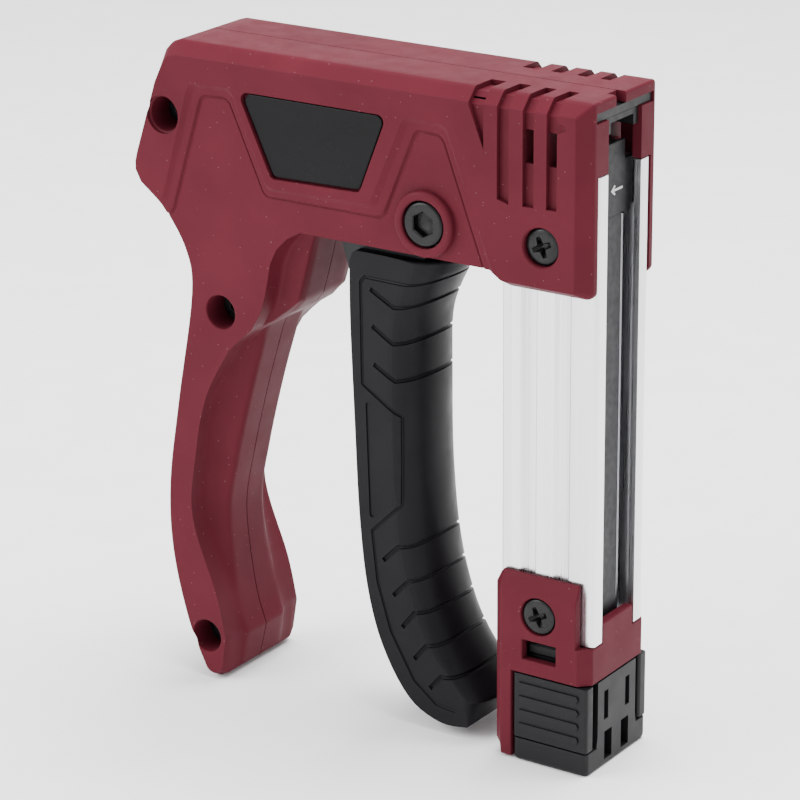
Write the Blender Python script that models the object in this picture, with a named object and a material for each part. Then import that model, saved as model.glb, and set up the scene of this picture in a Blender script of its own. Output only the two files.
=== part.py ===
"""Hand staple gun: a pistol body, a squeeze lever and a staple magazine that stands at the nose.

Lengths are in millimetres and turn into metres where a mesh is made. The model's own frame has
X = 0 on the work face at the nose, with +X the way a staple leaves, Y = 0 on the seam between the
two shells, and Z = 0 on the surface that the tool stands on. One root empty then carries all of it
forwards by half the length, so that the world origin is below the middle of the tool.

The deck is the upper end of the magazine channel. Heights called "above the deck" or "below the
deck" start there, and outlines in the side view are (x, z) pairs from one of three places: the
work face at the deck, the heel of the body at the deck, or the lever's pivot.
"""
import math

import bmesh
import bpy
from mathutils import Matrix, Vector

MM = 0.001
GAP = 0.3                # left between two pieces that touch
RUN = 0.4                # running clearance of a piece that slides or turns

# Body shells
LENGTH = 141.6           # work face to the heel of the body
BODY_WIDTH = 36.4        # over both shells
BODY_TOP = 19.4          # top of the body above the deck
UNDERSIDE = 27.0         # underside of the body below the deck
NOSE_BOTTOM = 31.1       # lower edge of the nose below the deck
EDGE_BEVEL = 3.5         # chamfer along the outer edges
WALL = 2.6
GRIP_CORE = 8.5          # half the width of the grip's narrow front
GRIP_HOLLOW = 5.6        # depth of the hollow inside each half of the grip
GRIP_WALL = 3.2          # grip's rear wall
CAVITY_TO_HEEL = 19.6    # rear end of the body's hollow, from the heel
LEDGE_DEPTH = 0.8        # step down to the lower part of the side
BADGE_DEPTH = 1.0
SLOT_DEPTH = 1.2         # vent grooves
VENT = (2.3, 11.0)       # heights of the open vents above the deck

# Magazine channel, an aluminium extrusion
CHANNEL_WIDTH = 25.2
CHANNEL_DEPTH = 27.9
CHANNEL_LENGTH = 126.0
CHANNEL_WALL = 2.2
CHANNEL_BOTTOM = 36.0    # lower end above the ground
LIP_WIDTH = 4.5
LIP_THICKNESS = 1.9
GUIDE_WALL = 0.8         # two thin walls inside, beside the staples' legs
GUIDE_FRONT = 4.8        # they start this far behind the work face

# End cap round the channel's foot
END_CAP_BOTTOM = 25.4
END_CAP_WALL = 2.75
END_CAP_BACK = 29.4
END_CAP_RISE = 17.0      # side walls above the channel's lower end
END_CAP_BEVEL = 3.0
WINDOW_X = (-19.8, -9.6)
WINDOW_Z = (-6.5, -1.0)  # from the channel's lower end

# Staple drawer
RAIL_WIDTH = 9.6
RAIL_FRONT = 3.2         # front of the rail behind the work face
RAIL_DEPTH = 12.8
RAIL_FOOT = 9.0          # lower end of the rail above the ground
SHEET = 1.0
HEAD_WIDTH = 19.2
HEAD_LOW = 14.0          # lower edge of the rail's wide head below the deck
CROWN_HALF = 5.6
CROWN_TOP = 5.8          # top of the rail's folded crown above the deck
ROD_DIAMETER = 2.0
ROD_BACK = 12.0          # rod's axis behind the work face
ROD_FOOT = 17.0
CAP_HEIGHT = 25.1
CAP_DEPTH = 22.7
ARM_FOOT = 6.8           # hinge of the side latches above the ground
ARM_THICKNESS = 3.85
DRAWER_PIN = 3.0
DRAWER_PIN_AT = (-8.5, 14.0)
PUSHER_LENGTH = 16.0
PUSHER_SKIRT = 1.5
PUSHER_WIRE = 0.8

# Lever and its pivot
PIVOT_BACK = 48.1        # pivot behind the work face
PIVOT_DROP = 18.0        # pivot below the deck
SQUEEZE = 20.0           # degrees the lever swings
LEVER_WIDTH = 25.0
LEVER_NOSE = 9.0         # depth of the lever's rounded front
LEVER_WALL = 2.4
LEVER_FRONT_WALL = 3.0
LEVER_TOP = 12.5         # top of the cover below the pivot
FRAME_SHEET = 1.6
EAR = 8.6                # radius of the frame's ears round the pivot
YOKE_REACH = 25.0        # yoke pin above the pivot
YOKE_PIN = 4.0
YOKE_EAR = 4.4
SLEEVE_DIAMETER = 8.0
SLEEVE_WALL = 1.5
BUSH_WALL = 1.3
BOLT_HEAD = 12.0
BOSS_DIAMETER = 17.6
BOSS_HEIGHT = 0.9

# Striking gear
BLADE_WIDTH = 10.4
BLADE_THICKNESS = 1.2
BLADE_BELOW_TOP = 8.0    # blade's middle below the top of the body
HAMMER = (-58.0, -34.0)
HAMMER_LOW = 1.5         # underside of the hammer above the deck
HAMMER_OVER = 1.8        # hammer's top above the blade's middle
GUIDE_SHEET = 1.2
RETURN_SPRING = 9.0
RETURN_WIRE = 1.4
ANCHOR_PIN = 4.0
ANCHOR_TO_HEEL = 27.6
ANCHOR_HEIGHT = 7.0      # above the deck
NOSE_PLATE = 2.4         # thickness of the plate over the firing slot
NOSE_PLATE_LENGTH = 23.4
PLATE_COVER = 3.1        # shell over that plate

# Fasteners
SCREW_HEAD = 9.6
SCREW_HEAD_DEPTH = 2.4
SCREW_SHANK = 4.0
SHELL_SCREW_HEAD = 8.2
SHELL_SCREW_HOLE = 9.2
HEAD_ROOM = 0.4          # round a head in its recess
SEAT = 3.2               # depth of a side screw's recess
GRIP_SCREW_SEAT = 7.6    # from the seam
GRIP_SCREW_REACH = 8.0   # past the seam
NOSE_SCREW = (-13.4, -18.6)
END_CAP_SCREW = (-15.0, 6.3)   # from the channel's lower end

# Worked out from the sizes above
DECK = CHANNEL_BOTTOM + CHANNEL_LENGTH
PIVOT = (-PIVOT_BACK, DECK - PIVOT_DROP)
ANCHOR = (-LENGTH + ANCHOR_TO_HEEL, DECK + ANCHOR_HEIGHT)
HALF = BODY_WIDTH / 2
CAVITY_HALF = HALF - WALL
CHANNEL_HALF = CHANNEL_WIDTH / 2
CHANNEL_SEAT = CHANNEL_HALF + GAP
RAIL_HALF = RAIL_WIDTH / 2
GUIDE_INSIDE = RAIL_HALF + GAP + PUSHER_SKIRT + RUN
PUSHER_SPRING = 2 * (RAIL_HALF - SHEET - GAP - RUN)
END_CAP_HALF = CHANNEL_SEAT + END_CAP_WALL
CAP_HALF = END_CAP_HALF - 0.1
ARM_INSIDE = CAP_HALF - ARM_THICKNESS
CORE_HALF = ARM_INSIDE - 2.0
LATCH_AXIS = CAP_HALF - ARM_THICKNESS / 2
LEVER_HALF = LEVER_WIDTH / 2
FRAME_HALF = LEVER_HALF - LEVER_WALL - GAP
HAMMER_HALF = FRAME_HALF - FRAME_SHEET - 2 * RUN
BLADE_HEIGHT = BODY_TOP - BLADE_BELOW_TOP
HAMMER_HIGH = BLADE_HEIGHT + HAMMER_OVER
PLATE_TOP = BODY_TOP - PLATE_COVER
PLATE_LOW = PLATE_TOP - NOSE_PLATE
NOSE_PLATE_HALF = CHANNEL_HALF + 1.0

# Side-view outlines, from the heel of the body at the deck
TOP_TO_HEEL = [((15.1, 0.0), (16.1, -3.5)), ((10.2, -3.2), (13.0, -5.6)), ((7.3, -10.9), (10.3, -11.8))]
HEEL = [((0.6, -12.5), (3.4, -13.2)), ((0.0, -16.5), (2.7, -16.4)), ((1.8, -21.0), (4.0, -19.2))]
GRIP_BACK = [(7.4, -25.1), (15.4, -37), (17.3, -50), (11.8, -81), (7.9, -106), (8.2, -126),
             (12.8, -146), (18.8, -159.5)]
GRIP_TOE = [((22.1, -161.9), (22.0, -159.6)), ((25.2, -160.4), (24.2, -158.0))]
GRIP_FRONT = [(27.7, -150), (24.3, -138.7), (21.8, -116.2), (24.9, -98.7), (30.3, -78.1), (35.7, -60.5)]
GRIP_FRONT_SIDE = [(26.0, -149), (23.1, -136), (15.6, -115), (17.0, -97), (21.1, -79), (29.6, -64)]
GRIP_BLOCK = [((37.0, -57.6), (35.1, -60.0)), ((48.2, -50.2), (39.6, -51.5)), ((50.6, -44.0), (42.2, -42.0)),
              ((53.6, -33.0), (46.1, -33.0)), ((55.1, -27.0), (53.6, -27.0))]
GRIP_SCREWS = [(10.6, -1.0), (27.3, -53.5), (19.6, -149.7)]
LEDGE_REAR = [(-8, -25.5), (11.7, -26.5), (21.3, 6.8)]

# From the work face at the deck
LEDGE_FRONT = [(-109.2, 6.8), (-97.6, -17.6), (-62.0, -17.6), (-52.4, 6.8), (-41.6, 6.8), (-27.4, -28.0),
               (-27.4, -45), (-60, -170)]
BADGE = [(-104.0, 8.8), (-94.8, -12.0), (-67.9, -12.0), (-59.2, 8.8)]
SLOTS = [(-33.4, -30.2), (-26.2, -22.8), (-18.7, -15.5), (-11.8, -8.8)]
SLOT_FLOORS = [-2.0, -8.6, -8.6, -8.6]

# From the lever's pivot
LEVER_BACK = [(-27.1, -15.5), (-27.1, -32), (-26.1, -59), (-24.9, -86), (-22.5, -107), (-17.7, -123),
              (-9.4, -136), (0.6, -141), (9.6, -140.4)]
LEVER_FRONT = [(15.5, -133), (9.9, -124.5), (3.6, -113), (-2.1, -95), (-5.1, -72), (-6.1, -48),
               (-5.9, -32), (-3.1, -23), (0.6, -16)]
LEVER_SLOT = (-37.9, 14.1)

MATERIALS = {
    "shell_red": ((0.235, 0.045, 0.062), 0.55, 0.0),
    "black_plastic": ((0.012, 0.012, 0.014), 0.45, 0.0),
    "aluminium": ((0.80, 0.80, 0.82), 0.35, 1.0),
    "black_steel": ((0.020, 0.020, 0.022), 0.42, 0.8),
    "bare_steel": ((0.50, 0.50, 0.52), 0.30, 1.0),
    "rubber": ((0.02, 0.02, 0.02), 0.80, 0.0),
}


# ---------------------------------------------------------------- making solids

def material(name):
    found = bpy.data.materials.get(name)
    if found:
        return found
    colour, roughness, metallic = MATERIALS[name]
    made = bpy.data.materials.new(name)
    made.use_nodes = True
    shader = made.node_tree.nodes["Principled BSDF"]
    shader.inputs["Base Color"].default_value = (*colour, 1.0)
    shader.inputs["Roughness"].default_value = roughness
    shader.inputs["Metallic"].default_value = metallic
    return made


def finish(name, mesh_data, finish_name):
    """Turn a bmesh in millimetres into a named object in metres."""
    bmesh.ops.remove_doubles(mesh_data, verts=mesh_data.verts, dist=0.0001)
    bmesh.ops.recalc_face_normals(mesh_data, faces=mesh_data.faces)
    mesh_data.transform(Matrix.Scale(MM, 4))
    mesh = bpy.data.meshes.new(name)
    mesh_data.to_mesh(mesh)
    mesh_data.free()
    made = bpy.data.objects.new(name, mesh)
    mesh.materials.append(material(finish_name))
    bpy.context.collection.objects.link(made)
    return made


def loft(name, rings, finish_name):
    """Skin a stack of rings with the same number of points, and cap both ends."""
    data = bmesh.new()
    layers = [[data.verts.new(point) for point in ring] for ring in rings]
    count = len(layers[0])
    for lower, upper in zip(layers, layers[1:]):
        for i in range(count):
            j = (i + 1) % count
            data.faces.new((lower[i], lower[j], upper[j], upper[i]))
    data.faces.new(layers[0])
    data.faces.new(layers[-1])
    return finish(name, data, finish_name)


def prism(name, outline, low, high, finish_name, along="Y"):
    """Extrude an outline: (x, z) along Y, (x, y) along Z, or (y, z) along X."""
    def lift(point, level):
        a, b = point
        return {"Y": (a, level, b), "Z": (a, b, level), "X": (level, a, b)}[along]
    return loft(name, [[lift(p, low) for p in outline], [lift(p, high) for p in outline]], finish_name)


def box(name, x, y, z, finish_name="black_steel"):
    corners = [(x[0], z[0]), (x[1], z[0]), (x[1], z[1]), (x[0], z[1])]
    return prism(name, corners, y[0], y[1], finish_name)


def turned(name, profile, centre, finish_name, along="Y", sides=24):
    """Turn a profile of (radius, level) pairs about an axis through centre."""
    rings = []
    for radius, level in profile:
        ring = []
        for i in range(sides):
            turn = 2 * math.pi * i / sides
            u, v = radius * math.cos(turn), radius * math.sin(turn)
            offset = {"Y": (u, level, v), "Z": (u, v, level), "X": (level, u, v)}[along]
            ring.append(tuple(c + o for c, o in zip(centre, offset)))
        rings.append(ring)
    return loft(name, rings, finish_name)


def tube(name, outer, inner, low, high, centre, finish_name, along="Y", sides=24):
    """A plain sleeve: a turned ring with a hole through it."""
    body = turned(name, [(outer, low), (outer, high)], centre, finish_name, along, sides)
    hole = turned("hole", [(inner, low - 1), (inner, high + 1)], centre, finish_name, along, sides)
    return cut(body, hole)


def coil(name, radius, wire, low, high, turns, centre, along, finish_name, per_turn=12, sides=5):
    """A closed helical spring about an axis through centre."""
    rings = []
    steps = int(turns * per_turn)
    for i in range(steps + 1):
        share = i / steps
        turn = 2 * math.pi * turns * share
        level = low + wire / 2 + (high - low - wire) * share
        ring = []
        for k in range(sides):
            around = 2 * math.pi * k / sides
            r = radius - wire / 2 + wire / 2 * math.cos(around)
            h = level + wire / 2 * math.sin(around)
            u, v = r * math.cos(turn), r * math.sin(turn)
            offset = {"X": (h, u, v), "Y": (u, h, v), "Z": (u, v, h)}[along]
            ring.append(tuple(c + o for c, o in zip(centre, offset)))
        rings.append(ring)
    return loft(name, rings, finish_name)


def bake(solid):
    """Keep the evaluated shape and drop the modifiers."""
    bpy.context.view_layer.update()
    seen = solid.evaluated_get(bpy.context.evaluated_depsgraph_get())
    mesh = bpy.data.meshes.new_from_object(seen)
    solid.modifiers.clear()
    solid.data = mesh
    return solid


def combine(solid, others, operation):
    for other in others:
        step = solid.modifiers.new("step", "BOOLEAN")
        step.operation = operation
        step.object = other
    bake(solid)
    for other in others:
        bpy.data.objects.remove(other)
    return solid


def cut(solid, *cutters):
    return combine(solid, cutters, "DIFFERENCE")


def join(solid, *others):
    return combine(solid, others, "UNION")


def mirrored(name, source):
    """The same piece on the other side of the seam."""
    data = bmesh.new()
    data.from_mesh(source.data)
    data.transform(Matrix.Scale(-1, 4, Vector((0, 1, 0))))
    data.transform(Matrix.Scale(1 / MM, 4))
    return finish(name, data, source.data.materials[0].name)


# ---------------------------------------------------------------- outlines

def smooth(points, steps):
    """A curve through the points, with the given number of steps between each two."""
    ends = [points[0]] + list(points) + [points[-1]]
    out = []
    for a, b, c, d in zip(ends, ends[1:], ends[2:], ends[3:]):
        for k in range(steps):
            t = k / steps
            out.append(tuple(0.5 * (2 * q + (r - p) * t + (2 * p - 5 * q + 4 * r - s) * t * t
                                    + (3 * q - p - 3 * r + s) * t ** 3)
                             for p, q, r, s in zip(a, b, c, d)))
    out.append(tuple(points[-1]))
    return out


def rounded(points, radius, steps=3):
    """Round every corner of an outline with an arc."""
    out = []
    count = len(points)
    for i, corner in enumerate(points):
        here = Vector(corner)
        before = (Vector(points[i - 1]) - here)
        after = (Vector(points[(i + 1) % count]) - here)
        half_angle = before.angle(after) / 2
        reach = min(radius / math.tan(half_angle), before.length / 2, after.length / 2)
        centre_way = (before.normalized() + after.normalized()).normalized()
        arc = reach * math.tan(half_angle)
        centre = here + centre_way * (arc / math.sin(half_angle))
        start = here + before.normalized() * reach - centre
        end = here + after.normalized() * reach - centre
        for k in range(steps + 1):
            spoke = start.slerp(end, k / steps) if k else start
            out.append(tuple(centre + spoke))
    return out


def arc_points(centre, radius, start, end, steps):
    """Points on an arc, with angles in degrees from +X towards +Z."""
    return [(centre[0] + radius * math.cos(math.radians(start + (end - start) * k / steps)),
             centre[1] + radius * math.sin(math.radians(start + (end - start) * k / steps)))
            for k in range(steps + 1)]


def up(points):
    """Outline points given from the work face at the deck, in the model's frame."""
    return [(x, DECK + z) for x, z in points]


def from_heel(points):
    return [(x - LENGTH, DECK + z) for x, z in points]


def from_pivot(points):
    return [(PIVOT[0] + x, PIVOT[1] + z) for x, z in points]


def heel_pairs(pairs, lift=0.0):
    """Pairs of points, on the full section and on the side face, in the model's frame."""
    return [tuple(from_heel([(x, z + lift) for x, z in pair])) for pair in pairs]


# ---------------------------------------------------------------- shells

def shell_outline():
    """Pairs of points: on the full section, and on the flat side face."""
    bevel = EDGE_BEVEL
    top = DECK + BODY_TOP
    low = DECK - UNDERSIDE
    nose = DECK - NOSE_BOTTOM
    back = smooth(GRIP_BACK, 2)
    rear = [((0, top), (-bevel, top - bevel))] + heel_pairs(TOP_TO_HEEL, BODY_TOP) + heel_pairs(HEEL)
    rear += list(zip(from_heel(back), from_heel([(x + 2.2, z + 0.5) for x, z in back])))
    rear += heel_pairs(GRIP_TOE)
    scallop = list(zip(from_heel(smooth(GRIP_FRONT, 2)), from_heel(smooth(GRIP_FRONT_SIDE, 2))))
    scallop += heel_pairs(GRIP_BLOCK)
    under = [((-27.6, low), (-28.2, low)),
             ((-24.2, nose), (-25.0, nose + 2)),
             ((-1.2, nose), (-bevel - 0.6, nose + 2)),
             ((0, nose + 1.2), (-bevel, nose + 2.6))]
    return rear, scallop, under


def shell_solid(name):
    """Outer form of one shell on the +Y side, before it is hollowed."""
    rear, scallop, under = shell_outline()
    levels = [(GAP / 2, 0.0, 0.0), (GRIP_CORE, 0.0, 0.0), (GRIP_CORE + 1.8, 0.65, 0.0),
              (HALF - EDGE_BEVEL, 0.93, 0.0), (HALF, 1.0, 1.0)]
    rings = []
    for y, grip_share, edge_share in levels:
        ring = []
        for group, share in ((rear, edge_share), (scallop, grip_share), (under, edge_share)):
            for full, side in group:
                ring.append((full[0] + (side[0] - full[0]) * share, y, full[1] + (side[1] - full[1]) * share))
        rings.append(ring)
    return loft(name, rings, "shell_red")


def grip_hollow():
    back = [(x + GRIP_WALL, z) for x, z in smooth(GRIP_BACK, 2)[6:11]]
    front = [(x - GRIP_WALL, z) for x, z in smooth(GRIP_FRONT, 2)[3:9]]
    return prism("cutter", from_heel(back + front), -1, GRIP_HOLLOW, "shell_red")


def side_cut(outline, depth):
    """A cutter that takes an outline of the side face down by a depth."""
    return prism("cutter", outline, HALF - depth, HALF + 5, "shell_red")


def vent_cutter(x, floor):
    """A slot that wraps from the side over the chamfer on to the top."""
    inner = SLOT_DEPTH
    top, edge = DECK + BODY_TOP, HALF - EDGE_BEVEL
    section = [(edge / 2, top + 2), (HALF + 2, top + 2), (HALF + 2, DECK + floor),
               (HALF - inner, DECK + floor), (HALF - inner, top - EDGE_BEVEL - inner / 2),
               (edge - inner / 2, top - inner), (edge / 2, top - inner)]
    return prism("cutter", section, x[0], x[1], "shell_red", along="X")


def boss():
    """Raised round land on the side, about the pivot."""
    radius = BOSS_DIAMETER / 2
    return turned("boss", [(radius, HALF - 2), (radius, HALF + BOSS_HEIGHT - 0.6),
                           (radius - 0.6, HALF + BOSS_HEIGHT)], (PIVOT[0], 0, PIVOT[1]), "shell_red")


def pivot_holes():
    centre = (PIVOT[0], 0, PIVOT[1])
    head, sleeve = BOLT_HEAD / 2 + HEAD_ROOM, SLEEVE_DIAMETER / 2 + GAP
    return [turned("cutter", [(head, HALF - SEAT), (head, HALF + 5)], centre, "shell_red"),
            turned("cutter", [(sleeve, -1), (sleeve, HALF + 5)], centre, "shell_red")]


def nose_pocket():
    """Room for the channel, and above it for the blade and the plate over the firing slot."""
    seat, back = CHANNEL_SEAT, -CHANNEL_DEPTH - GAP
    mouth = -WALL - 1
    low, floor = DECK - NOSE_BOTTOM - 1, DECK + GAP
    plate = (DECK + PLATE_LOW, DECK + PLATE_TOP + GAP)
    return [
        box("cutter", (back, -WALL), (-1, seat), (low, floor)),
        box("cutter", (back - 3, -WALL), (-1, seat), (DECK, DECK + BODY_TOP - WALL)),
        box("cutter", (mouth, 1), (-1, seat), (low, floor)),
        box("cutter", (mouth, 1), (-1, CHANNEL_HALF - LIP_WIDTH), (DECK, plate[0] + 0.1)),
        box("cutter", (-NOSE_PLATE_LENGTH - 2, 1), (-1, NOSE_PLATE_HALF + GAP), plate),
    ]


def shell_half(name):
    solid = cut(shell_solid(name), side_cut(from_heel(LEDGE_REAR) + up(LEDGE_FRONT) + from_heel([(-8, -170)]),
                                            LEDGE_DEPTH))
    solid = join(solid, boss())
    front, back, roof = -CHANNEL_DEPTH - 2, -LENGTH + CAVITY_TO_HEEL, DECK + BODY_TOP - WALL
    floor = DECK - UNDERSIDE
    cavity = [(front, roof), (back, roof), (back, DECK - 14), (back + 16, floor + WALL), (front, floor + WALL)]
    anchor = ANCHOR_PIN / 2 + GAP
    slot = (PIVOT[0] + LEVER_SLOT[0], PIVOT[0] + LEVER_SLOT[1])
    cutters = [
        prism("cutter", cavity, -1, CAVITY_HALF, "shell_red"),
        box("cutter", slot, (-1, LEVER_HALF + 1.7), (floor - 1, floor + WALL + 1)),
        grip_hollow(),
        side_cut(rounded(up(BADGE), 2.0), BADGE_DEPTH + LEDGE_DEPTH),
        turned("cutter", [(anchor, -1), (anchor, CAVITY_HALF + 1.5)], (ANCHOR[0], 0, ANCHOR[1]),
               "shell_red", sides=12),
        side_screw_cutter((NOSE_SCREW[0], 0, DECK + NOSE_SCREW[1]), HALF, 0),
    ]
    cutters += nose_pocket() + pivot_holes()
    cutters += [vent_cutter(x, floor) for x, floor in zip(SLOTS, SLOT_FLOORS)]
    cutters += [box("cutter", x, (CHANNEL_SEAT - 1, HALF), (DECK + VENT[0], DECK + VENT[1])) for x in SLOTS[2:]]
    return cut(solid, *cutters)


def side_screw_cutter(centre, face, start, side=1):
    """Recess for a side screw's head, and the hole for its shank."""
    head = SCREW_HEAD / 2 + HEAD_ROOM
    shank = SCREW_SHANK / 2 + GAP
    seat = face - SEAT
    return turned("cutter", [(shank, side * start), (shank, side * seat), (head, side * seat),
                             (head, side * (face + 5))], centre, "shell_red")


def shells():
    right = shell_half("right_shell")
    left = mirrored("left_shell", right)
    bore, shank = SHELL_SCREW_HOLE / 2, SCREW_SHANK / 2 + GAP
    for x, z in from_heel(GRIP_SCREWS):
        cut(left, turned("cutter", [(bore, -HALF - 5), (bore, -GRIP_SCREW_SEAT), (shank, -GRIP_SCREW_SEAT),
                                    (shank, 1)], (x, 0, z), "shell_red"))
        cut(right, turned("cutter", [(shank, -1), (shank, GRIP_SCREW_REACH + GAP)],
                          (x, 0, z), "shell_red", sides=16))
    cut(left, box("notch", (-2.7, 1), (-4.6, 1), (DECK + PLATE_TOP, DECK + BODY_TOP + 1)))


def badge(name, side):
    """Blank plate in the side's recess."""
    middle_x = sum(x for x, z in BADGE) / len(BADGE)
    middle_z = sum(z for x, z in BADGE) / len(BADGE)
    inner = [(middle_x + (x - middle_x) * 0.98, middle_z + (z - middle_z) * 0.955) for x, z in BADGE]
    low, high = HALF - LEDGE_DEPTH - BADGE_DEPTH + GAP, HALF - 0.5
    return prism(name, rounded(up(inner), 1.8), side * low, side * high, "black_plastic")


# ---------------------------------------------------------------- fasteners

def screw(name, centre, face, side, reach, head_diameter, drive_sides):
    """A flat-headed screw set into the side, with its drive cut in the head."""
    head, shank = head_diameter / 2, SCREW_SHANK / 2
    under = side * (face - SCREW_HEAD_DEPTH)
    place = (centre[0], 0, centre[1])
    body = turned(name, [(head - 0.4, side * face), (head, side * (face - 0.4)), (head, under),
                         (shank, under), (shank, side * reach)], place, "black_steel")
    drive = turned("drive", [(head * 0.45, side * (face - 1.6)), (head * 0.45, side * (face + 1))],
                   place, "black_steel", sides=drive_sides)
    return cut(body, drive)


def fasteners():
    seated = GRIP_SCREW_SEAT + GAP + SCREW_HEAD_DEPTH
    for label, point in zip(("rear", "upper_grip", "lower_grip"), from_heel(GRIP_SCREWS)):
        screw(label + "_shell_screw", point, seated, -1, GAP - GRIP_SCREW_REACH, SHELL_SCREW_HEAD, 6)
    reach = CHANNEL_HALF - CHANNEL_WALL + 0.6
    foot_screw = (END_CAP_SCREW[0], CHANNEL_BOTTOM + END_CAP_SCREW[1])
    for label, side in (("left", -1), ("right", 1)):
        for kind, point, wall in (("nose", up([NOSE_SCREW])[0], HALF), ("end_cap", foot_screw, END_CAP_HALF)):
            deep = min(SEAT, wall - CHANNEL_SEAT - 0.2)
            screw(f"{label}_{kind}_screw", point, wall - deep + GAP + SCREW_HEAD_DEPTH, side, reach, SCREW_HEAD, 4)


def pivot_parts():
    """Sleeve through both shells with a socket-headed bolt in each end."""
    centre = (PIVOT[0], 0, PIVOT[1])
    inner = HALF - SEAT + GAP
    bore = SLEEVE_DIAMETER / 2 - SLEEVE_WALL
    tube("pivot_sleeve", SLEEVE_DIAMETER / 2, bore, -inner + 2 * GAP, inner - 2 * GAP, centre, "bare_steel")
    head, shank = BOLT_HEAD / 2, bore - GAP
    face = HALF + BOSS_HEIGHT - 0.3
    for name, side in (("pivot_bolt", -1), ("pivot_nut", 1)):
        body = turned(name, [(head - 0.7, side * face), (head, side * (face - 0.7)), (head, side * inner),
                             (shank, side * inner), (shank, side * 1.0)], centre, "black_steel")
        hexagon = turned("drive", [(3.4, side * (face - 2.6)), (3.4, side * (face + 1))], centre,
                         "black_steel", sides=6)
        cut(body, hexagon)


# ---------------------------------------------------------------- magazine

def magazine_channel():
    """C-section with lips at the front and two thin guide walls inside."""
    half, wall = CHANNEL_HALF, CHANNEL_WALL
    lip = half - LIP_WIDTH
    guide_in, guide_out = GUIDE_INSIDE, GUIDE_INSIDE + GUIDE_WALL
    back = -CHANNEL_DEPTH
    right = [(back + wall, 0), (back + wall, guide_in), (-GUIDE_FRONT, guide_in), (-GUIDE_FRONT, guide_out),
             (back + wall, guide_out), (back + wall, half - wall), (-LIP_THICKNESS, half - wall),
             (-LIP_THICKNESS, lip), (0, lip), (0, half)]
    for x in (-6.3, -11.0, -17.0, -22.0):
        right += [(x + 0.5, half), (x, half - 0.35), (x - 0.5, half)]
    right += [(back, half)]
    outline = [(x, -y) for x, y in reversed(right)] + right[1:]
    channel = prism("magazine_channel", outline, CHANNEL_BOTTOM, DECK, "aluminium", along="Z")
    hole = SCREW_SHANK / 2 + GAP
    for x, z in (up([NOSE_SCREW])[0], (END_CAP_SCREW[0], CHANNEL_BOTTOM + END_CAP_SCREW[1])):
        for side in (-1, 1):
            cut(channel, turned("cutter", [(hole, side * (half - wall - 1)), (hole, side * (half + 1))],
                                (x, 0, z), "aluminium", sides=12))
    return channel


def end_cap_pockets(top):
    """Cuts that seat the channel, let the drawer through and open the latch windows."""
    half, seat = END_CAP_HALF, CHANNEL_SEAT
    lip = CHANNEL_HALF - LIP_WIDTH - GAP
    seat_floor = CHANNEL_BOTTOM - GAP
    mouth = -WALL - 1
    window = (CHANNEL_BOTTOM + WINDOW_Z[0], CHANNEL_BOTTOM + WINDOW_Z[1])
    cutters = [
        box("cutter", (-CHANNEL_DEPTH - GAP, -WALL), (-seat, seat), (seat_floor, top + 1)),
        box("cutter", (mouth, 1), (-half - 1, -lip), (seat_floor, top + 1)),
        box("cutter", (mouth, 1), (lip, half + 1), (seat_floor, top + 1)),
        box("cutter", (mouth, 1), (-lip - 1, lip + 1), (CHANNEL_BOTTOM + 5.3, top + 1)),
        box("cutter", (-CAP_DEPTH, -RAIL_FRONT + GAP), (-seat, seat), (END_CAP_BOTTOM - 1, CHANNEL_BOTTOM)),
        box("cutter", WINDOW_X, (-half - 1, half + 1), window),
    ]
    return cutters


def end_cap():
    """Holds the channel's foot; its back wall runs down behind the drawer's cap."""
    half, bevel = END_CAP_HALF, END_CAP_BEVEL
    top = CHANNEL_BOTTOM + END_CAP_RISE
    plan = [(-END_CAP_BACK + bevel, -half), (-bevel, -half), (0, -half + bevel), (0, half - bevel),
            (-bevel, half), (-END_CAP_BACK + bevel, half), (-END_CAP_BACK, half - bevel),
            (-END_CAP_BACK, -half + bevel)]
    cap = prism("end_cap", plan, END_CAP_BOTTOM, top, "shell_red", along="Z")
    leg_front = -CAP_DEPTH - RUN
    leg = [(leg_front, -half), (leg_front, half)] + plan[5:] + plan[:1]
    cap = join(cap, prism("leg", leg, 0.6, END_CAP_BOTTOM + 1, "shell_red", along="Z"))
    cap = cut(cap, *end_cap_pockets(top))
    centre = (END_CAP_SCREW[0], 0, CHANNEL_BOTTOM + END_CAP_SCREW[1])
    seat_depth = END_CAP_WALL - 0.2
    return cut(cap, *[side_screw_cutter(centre, half - seat_depth + SEAT, CHANNEL_SEAT - 2, side)
                      for side in (-1, 1)])


# ---------------------------------------------------------------- staple drawer

def rail_section():
    """U-section of folded sheet, open at the back."""
    front, back = -RAIL_FRONT, -RAIL_FRONT - RAIL_DEPTH
    half, inner = RAIL_HALF, RAIL_HALF - SHEET
    return [(front, -half), (front, half), (back, half), (back, inner), (front - SHEET, inner),
            (front - SHEET, -inner), (back, -inner), (back, -half)]


def drawer_pin_hole(half):
    radius = DRAWER_PIN / 2 + GAP
    return turned("cutter", [(radius, -half), (radius, half)], (DRAWER_PIN_AT[0], 0, DRAWER_PIN_AT[1]),
                  "black_steel", sides=12)


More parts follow.
